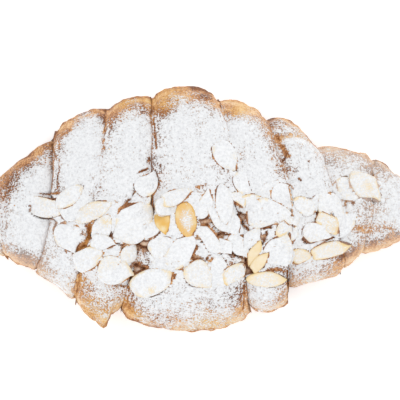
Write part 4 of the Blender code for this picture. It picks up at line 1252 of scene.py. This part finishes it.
def stones(name, places, directions, sizes, flatness, seed):
    """One mesh of many stones: the icosahedron's corners moved in or out by up to a third, scaled to
    each size, flattened along the surface normal there, and set on it."""
    random = np.random.default_rng(seed)
    count = len(places)
    shape = STONE[None] * random.uniform(*CORNER_MOVES, (count, 12, 1)) * sizes[:, None, None]
    shape = shape * random.uniform(*SIDE_STRETCH, (count, 1, 3))
    along_normal = (shape * directions[:, None]).sum(axis=-1, keepdims=True) * directions[:, None]
    shape = shape - (1 - flatness) * along_normal
    points = (shape + places[:, None]).reshape(-1, 3)
    faces = (STONE_FACES[None] + np.arange(count)[:, None, None] * 12).reshape(-1, 3)
    return mesh_from(name, points, faces)


print("a stone has", len(STONE_FACES), "triangles")

# %% [markdown]
# ## Where they lie
# Clumps lie where the sugar is thick, in loose groups, and crumbs lie higher up where it is thin.
# Equal chances for every grid point would crowd them at the seams, where the grid is fine, so the
# chance of a point is the area round it. Most clumps are tiny, because sizes come from a power of
# an even draw.

# %% Scatter the clumps and the crumbs
CLUMPS, CLUMP_SIZE, CLUMP_FLAT = 900, (0.16, 0.34, 3), 0.6  # size: least, range in mm, and the power
CRUMBS, CRUMB_SIZE, CRUMB_FLAT = 160, (0.18, 0.3, 2), 0.35
CLUMP_FOOT, CRUMB_FOOT = 4, 12  # neither lies below this height, in mm


def pick(weights, count, seed):
    """Indices drawn without repeats, each with a chance in step with its weight."""
    random = np.random.default_rng(seed)
    weights = weights.ravel()
    return random.choice(len(weights), count, replace=False, p=weights / weights.sum())


def stone_sizes(sizes, count, seed):
    """Sizes from the least up: the range times an even draw from 0 to 1 raised to the power."""
    least, size_range, power = sizes
    return least + size_range * np.random.default_rng(seed).uniform(0, 1, count) ** power


fine_normals = grid_normals(fine).reshape(-1, 3)
fine_points = fine.reshape(-1, 3)
cell_area = np.linalg.norm(np.cross(np.gradient(fine, axis=0), np.gradient(fine, axis=1)), axis=-1)
clustered = np.clip(noise(fine, 9.0, 71) + 0.4, 0.02, 1)
chosen = pick(cell_area * clustered * (sugar > 0.55) * (fine[..., 2] > CLUMP_FOOT), CLUMPS, 72)
sizes = stone_sizes(CLUMP_SIZE, CLUMPS, 73)
sugar_clumps = stones("sugar_clumps", fine_points[chosen], fine_normals[chosen], sizes, CLUMP_FLAT, 74)
chosen = pick(cell_area * (sugar > 0.1) * (sugar < 0.8) * (fine[..., 2] > CRUMB_FOOT), CRUMBS, 75)
sizes = stone_sizes(CRUMB_SIZE, CRUMBS, 76)
crumbs = stones("pastry_crumbs", fine_points[chosen], fine_normals[chosen], sizes, CRUMB_FLAT, 77)

# %% [markdown]
# ## Finishes
# The finishes share one idea. A number stored on the mesh says how much sugar should lie there,
# and fine noise turns it into specks: where the number is high, nearly all of the surface is white,
# and where it is low, only a few grains show. A painted image could show the same, but it would be
# fixed to one size, and noise on Object coordinates has its detail at the real scale of the grains.
# Node trees are long to write out, so a few helpers come first.

# %% Node helpers
def new_material(name):
    """A material, its node tree and its Principled shader."""
    material = bpy.data.materials.new(name)
    material.use_nodes = True
    return material, material.node_tree, material.node_tree.nodes["Principled BSDF"]


def fill(tree, made, inputs):
    """Fills a node's inputs, each from a value or from another node's socket."""
    for key, value in inputs.items():
        if isinstance(value, bpy.types.NodeSocket):
            tree.links.new(value, made.inputs[key])
        else:
            made.inputs[key].default_value = value


def node(tree, kind, inputs=None, **settings):
    """Adds a node, sets its own settings, and fills its inputs."""
    made = tree.nodes.new(kind)
    for key, value in settings.items():
        setattr(made, key, value)
    fill(tree, made, inputs or {})
    return made


def attribute(tree, name):
    """A number stored on the mesh."""
    return node(tree, "ShaderNodeAttribute", attribute_name=name, attribute_type="GEOMETRY").outputs["Fac"]


def object_place(tree):
    """The place on the object, in metres."""
    return node(tree, "ShaderNodeTexCoord").outputs["Object"]


print("on Object coordinates, in metres, the croissant is", 2 * HALF_LENGTH * MM, "long")

# %% [markdown]
# ## Sums, clouds and ramps as nodes
# The rest of the helpers name what a finish does with those numbers: add them up, blend two
# colours, make clouds of noise, stretch a range, send a share through a ramp of colours, or bend
# the normal. A node group would do it too, but then its steps would be hidden from a reader.

# %% Helpers for sums, noise, colour and relief
def maths(tree, operation, *values, clamp=False):
    """A Math node's result."""
    made = node(tree, "ShaderNodeMath", dict(enumerate(values)), operation=operation, use_clamp=clamp)
    return made.outputs[0]


def add_up(tree, start, *parts):
    """start plus each value times its share."""
    for value, share in parts:
        start = maths(tree, "MULTIPLY_ADD", value, share, start)
    return start


def blend_colour(tree, share, first, second):
    """A mix of two colours by a share."""
    return node(tree, "ShaderNodeMix", {0: share, 6: first, 7: second}, data_type="RGBA").outputs[2]


def clouds(tree, place, scale, detail=2.0, roughness=0.5):
    """Noise from 0 to 1: scale is how often it repeats in a unit, and detail adds finer octaves."""
    inputs = {"Vector": place, "Scale": scale, "Detail": detail, "Roughness": roughness}
    return node(tree, "ShaderNodeTexNoise", inputs).outputs["Fac"]


def spread(tree, value, low, high, to_low=0.0, to_high=1.0, kind="LINEAR"):
    """The value, with low to high stretched over to_low to to_high and held beyond them."""
    inputs = {"Value": value, "From Min": low, "From Max": high, "To Min": to_low, "To Max": to_high}
    return node(tree, "ShaderNodeMapRange", inputs, interpolation_type=kind).outputs["Result"]


def ramp(tree, share, stops):
    """A colour ramp with (place, red, green, blue) stops."""
    made = node(tree, "ShaderNodeValToRGB", {"Fac": share})
    bar = made.color_ramp
    while len(bar.elements) < len(stops):
        bar.elements.new(1.0)
    for element, (place, *colour) in zip(bar.elements, stops):
        element.position = place
        element.color = (*colour, 1)
    return made.outputs["Color"]


def bumped(tree, height, strength, distance):
    """A normal bent by a height, of which 1 is the distance in metres."""
    inputs = {"Height": height, "Strength": strength, "Distance": distance}
    return node(tree, "ShaderNodeBump", inputs).outputs["Normal"]


print("noise of scale 1000 repeats every", 1 / 1000 / MM, "mm")

# %% [markdown]
# ## Icing sugar
# Icing sugar is a fine white powder. From close by it is not one even sheet but grains and soft
# clusters with shaded hollows between them. Real grains would be millions of meshes. Instead, the
# cover plus two sizes of noise is cut off at a half: that gives specks with ragged edges whose
# number follows the cover.

# %% Sugar as specks
SUGAR_WHITE, SUGAR_SHADE = (0.87, 0.875, 0.885, 1), (0.69, 0.695, 0.715, 1)
THIN_SUGAR = (0.80, 0.74, 0.695, 1)
CRUST_GRAINS, ALMOND_GRAINS = 1500.0, 1900.0  # how often the grains repeat in a metre
CLUSTER_SCALE = 0.3  # the clusters repeat this much less often than the grains
GRAIN_STRENGTH, CLUSTER_STRENGTH = 2.0, 0.8
DULL = 0.95  # the roughness of powder


def speckle(tree, cover, place, grain_scale, soft):
    """1 where sugar lies and 0 where it doesn't: the cover, plus fine and coarser noise about 0, cut
    off softly at a half."""
    grains = clouds(tree, place, grain_scale, roughness=0.6)
    clusters = clouds(tree, place, grain_scale * CLUSTER_SCALE)
    from_grains = maths(tree, "MULTIPLY_ADD", grains, GRAIN_STRENGTH, -GRAIN_STRENGTH / 2)
    from_clusters = maths(tree, "MULTIPLY_ADD", clusters, CLUSTER_STRENGTH, -CLUSTER_STRENGTH / 2)
    total = maths(tree, "ADD", maths(tree, "ADD", cover, from_grains), from_clusters)
    return spread(tree, total, 0.5 - soft, 0.5 + soft, kind="SMOOTHSTEP")


def sugar_colour(tree, place):
    """Icing sugar: nearly white, a little darker in soft patches."""
    share = spread(tree, clouds(tree, place, 900.0, 4.0, 0.75), 0.28, 0.58)
    return blend_colour(tree, share, SUGAR_SHADE, SUGAR_WHITE)


def powder(tree, place):
    """The fine unevenness of sugar and crust."""
    return clouds(tree, place, 1300.0, 3.0, 0.7)


print("sugar grains are about", round(1 / CRUST_GRAINS / MM, 2), "mm apart")

# %% [markdown]
# ## The crust's finish
# Baked dough goes from pale gold to dark brown, in streaks that follow its layers, in blotches and
# in fine flecks. Noise stretched along the dough's own UV map makes the streaks, and two scales of
# noise on the place the rest. They are added to the toast, which also holds the painted shade of the
# gaps, the cracks and the steep sides, and a ramp turns the sum into colour. A second ramp serves
# the golden patches. Sugar comes on top in three steps: a thin film that only pales the dough, the
# veil, and the specks.

# %% Baked dough under sugar
DOUGH = (
    (0.0, 0.86, 0.62, 0.38),
    (0.3, 0.76, 0.43, 0.20),
    (0.6, 0.52, 0.235, 0.095),
    (0.85, 0.29, 0.115, 0.048),
    (1.0, 0.17, 0.065, 0.028),
)
GOLDEN_DOUGH = (
    (0.0, 0.82, 0.55, 0.25),
    (0.35, 0.70, 0.37, 0.11),
    (0.65, 0.52, 0.23, 0.065),
    (1.0, 0.30, 0.11, 0.035),
)
BROWNING_LESS = 1.65  # what the three noises add on average
CRUST_RELIEF = 0.0004  # metres


def dough_colour(tree, place, layers):
    """The ramp of the dough, and of golden dough, at the toast and painted shade plus layers, mottle and
    flecks.
    """
    mottle, flecks = clouds(tree, place, 420.0, 5.0, 0.65), clouds(tree, place, 1400.0, 3.0, 0.7)
    browning_and_shade = add_up(tree, attribute(tree, "toast_and_shade"), (layers, 0.6), (mottle, 0.6), (flecks, 2.2))
    browning_and_shade = maths(tree, "SUBTRACT", browning_and_shade, BROWNING_LESS, clamp=True)
    plain, gold = ramp(tree, browning_and_shade, DOUGH), ramp(tree, browning_and_shade, GOLDEN_DOUGH)
    return blend_colour(tree, attribute(tree, "golden"), plain, gold)


def crust_finish():
    """Baked, layered dough under icing sugar."""
    material, tree, shader = new_material("baked_crust_with_sugar")
    place, sugar = object_place(tree), attribute(tree, "sugar")
    along_dough = node(tree, "ShaderNodeUVMap", uv_map="grain").outputs["UV"]
    stretched = node(tree, "ShaderNodeMapping", {"Vector": along_dough, "Scale": (0.8, 9.0, 1.0)}).outputs[0]
    layers = clouds(tree, stretched, 1.4, 4.0, 0.6)
    dough = dough_colour(tree, place, layers)
    thin_film = spread(tree, sugar, 0.6, 0.86, to_high=0.68, kind="SMOOTHSTEP")
    veil = maths(tree, "ADD", thin_film, attribute(tree, "veil"), clamp=True)
    veiled = blend_colour(tree, veil, dough, THIN_SUGAR)
    mask = speckle(tree, sugar, place, CRUST_GRAINS, 0.10)
    covering = maths(tree, "MULTIPLY", mask, spread(tree, sugar, 0.25, 0.8, 0.72, 1.0))
    relief = add_up(tree, powder(tree, place), (mask, 0.6), (layers, 0.7))
    fill(tree, shader, {
        "Base Color": blend_colour(tree, covering, veiled, sugar_colour(tree, place)),
        "Roughness": spread(tree, mask, 0.0, 1.0, 0.6, DULL),
        "Normal": bumped(tree, relief, 0.8, CRUST_RELIEF),
        "Specular IOR Level": 0.18,
    })
    return material


crust.data.materials.append(crust_finish())
print(crust.data.materials[0].name, "has", len(crust.data.materials[0].node_tree.nodes), "nodes")

# %% [markdown]
# ## The almonds' finish
# Blanched almond is cream and turns golden in the oven, first at the thin rim. It is smoother and
# glossier than crust. The tone stored on each slice, with its painted shade under other slices, some
# mottle and the nearness of the rim are added and sent through a ramp. A light film of sugar pales
# it, because powder sticks to a nut more evenly than to flaky dough, and the specks lie on top.

# %% Almond under sugar
ALMOND = (
    (0.0, 0.88, 0.79, 0.63),
    (0.3, 0.85, 0.71, 0.49),
    (0.6, 0.83, 0.63, 0.31),
    (1.0, 0.78, 0.46, 0.11),
)
MOTTLE_MEAN = 0.2  # what the mottle adds on average
ALMOND_RELIEF = 0.00025  # metres


def almond_finish():
    """Blanched almond, cream to golden, browner at the rim, under icing sugar."""
    material, tree, shader = new_material("sliced_almond_with_sugar")
    place, sugar = object_place(tree), attribute(tree, "sugar")
    mottle = clouds(tree, place, 500.0, 4.0, 0.6)
    rim = spread(tree, attribute(tree, "rim"), 0.75, 1.0, to_high=0.18, kind="SMOOTHSTEP")
    browning_and_shade = maths(tree, "ADD", add_up(tree, attribute(tree, "tone"), (mottle, 0.4)), rim)
    nut = ramp(tree, maths(tree, "SUBTRACT", browning_and_shade, MOTTLE_MEAN, clamp=True), ALMOND)
    filmed = blend_colour(tree, maths(tree, "MULTIPLY", sugar, 0.75), nut, SUGAR_WHITE)
    mask = speckle(tree, sugar, place, ALMOND_GRAINS, 0.22)
    relief = add_up(tree, powder(tree, place), (mask, 0.8))
    fill(tree, shader, {
        "Base Color": blend_colour(tree, mask, filmed, sugar_colour(tree, place)),
        "Roughness": spread(tree, mask, 0.0, 1.0, 0.42, DULL),
        "Normal": bumped(tree, relief, 0.5, ALMOND_RELIEF),
        "Specular IOR Level": 0.4,
    })
    return material


almonds.data.materials.append(almond_finish())
print(almonds.data.materials[0].name, "has", len(almonds.data.materials[0].node_tree.nodes), "nodes")

# %% [markdown]
# ## Finishes of the clumps and the crumbs
# A clump is the same powder as the rest, so it takes the same white, dull and grainy. Crumbs are
# torn from the crust, some pale and some brown. A material for each tone would be clumsy: broad
# noise on the place gives every crumb its own.

# %% Sugar clumps and crumbs
CLUMP_RELIEF = 0.0002  # metres


def powder_finish():
    """Loose icing sugar: white, dull and grainy."""
    material, tree, shader = new_material("icing_sugar")
    place = object_place(tree)
    fill(tree, shader, {
        "Base Color": sugar_colour(tree, place),
        "Roughness": DULL,
        "Normal": bumped(tree, clouds(tree, place, 2200.0), 0.5, CLUMP_RELIEF),
        "Specular IOR Level": 0.2,
    })
    return material


def crumb_finish():
    """Flakes of baked crust, golden to brown from one to the next."""
    material, tree, shader = new_material("pastry_crumb")
    mottle = clouds(tree, object_place(tree), 260.0, 3.0)
    colour = ramp(tree, mottle, ((0.3, 0.78, 0.55, 0.30), (0.7, 0.42, 0.21, 0.08)))
    fill(tree, shader, {"Base Color": colour, "Roughness": 0.55})
    return material


sugar_clumps.data.materials.append(powder_finish())
crumbs.data.materials.append(crumb_finish())
print("finishes:", [piece.data.materials[0].name for piece in (crust, almonds, sugar_clumps, crumbs)])

# %% [markdown]
# ## What each piece belongs to
# The four pieces stand for the imported solid. Food has no joints, so they all ride on the one body.

# %% Ride on the body and replace the solid
for piece, slot in ((crust, "pastry"), (almonds, "almond"), (sugar_clumps, "pastry"), (crumbs, "pastry")):
    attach(piece, "root")
    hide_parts("croissant")
    print(piece.name, "rides on root and has the finish", slot)

# %% [markdown]
# ## The table
# The croissant lies on a plain white ground. A curved backdrop would be needed for a view from the
# side, but from straight above a wide, pale, matt square does, and a little light of its own keeps
# it white out to the corners.

# %% The pale table
TABLE_HALF, TABLE_BELOW = 1600.0, 0.1  # mm


def table():
    """A wide, flat square just under the croissant, with a matt, pale finish."""
    sides = ((-1, -1), (1, -1), (1, 1), (-1, 1))
    corners = np.array([(x * TABLE_HALF, y * TABLE_HALF, -TABLE_BELOW) for x, y in sides])
    made = mesh_from("table", corners, np.array([[0, 1, 2, 3]]))
    material, tree, shader = new_material("pale_table")
    fill(tree, shader, {
        "Base Color": (0.93, 0.93, 0.93, 1),
        "Roughness": 0.9,
        "Specular IOR Level": 0.1,
        "Emission Color": (1, 1, 1, 1),
        "Emission Strength": 0.4,
    })
    made.data.materials.append(material)
    return made


table()

# %% [markdown]
# ## Light
# The photo is a high-key picture: a large soft light from the upper right, and a bright room all
# round that leaves only short, soft shadows on the lower left. A sun lamp would be harder and an
# environment image is not needed. Two square area lamps do, a small one as key and a large one as
# fill, under a plain bright world.

# %% Lamps and the bright room
def area_light(name, place, size, energy, colour):
    """A square lamp that faces the middle of the croissant."""
    lamp = bpy.data.lights.new(name, "AREA")
    lamp.size = size
    lamp.energy = energy
    lamp.color = colour
    made = bpy.data.objects.new(name, lamp)
    bpy.context.scene.collection.objects.link(made)
    made.location = place
    direction = -made.location
    made.rotation_euler = direction.to_track_quat("-Z", "Y").to_euler()
    print(name, energy, "W")


area_light("soft_key", (0.3, 0.45, 0.85), 0.35, 2.1, (1.0, 0.985, 0.96))
area_light("soft_fill", (-0.5, -1.0, 0.8), 0.9, 3.6, (1.0, 1.0, 1.0))

world = bpy.data.worlds.new("bright_room")
world.use_nodes = True
background = world.node_tree.nodes["Background"]
background.inputs["Color"].default_value = (0.98, 0.99, 1.0, 1)
background.inputs["Strength"].default_value = 0.86
bpy.context.scene.world = world
bpy.context.scene.view_settings.view_transform = "Standard"

# %% [markdown]
# ## Camera
# The photo was taken from straight above and shows no perspective worth naming, so the camera hangs
# high up with a long lens. The frame cuts off both tips, as the photo does. Its width is given at
# the height where the roll is widest.

# %% Camera straight above, framed like the photo
PHOTO_WIDTH = 164.0  # millimetres that the photo's 400 pixels span at the widest line of the roll
CAMERA_PLACE = (-0.8, 3.7, 1500.0)
FRAMED_HEIGHT = 15.0
camera = bpy.data.cameras.new("from_above")
camera.sensor_width = 36.0
camera.lens = camera.sensor_width * (CAMERA_PLACE[2] - FRAMED_HEIGHT) / PHOTO_WIDTH
camera.clip_start = 0.05
viewer = bpy.data.objects.new("from_above", camera)
bpy.context.scene.collection.objects.link(viewer)
viewer.location = [c * MM for c in CAMERA_PLACE]
bpy.context.scene.camera = viewer
print("lens", round(camera.lens), "mm")
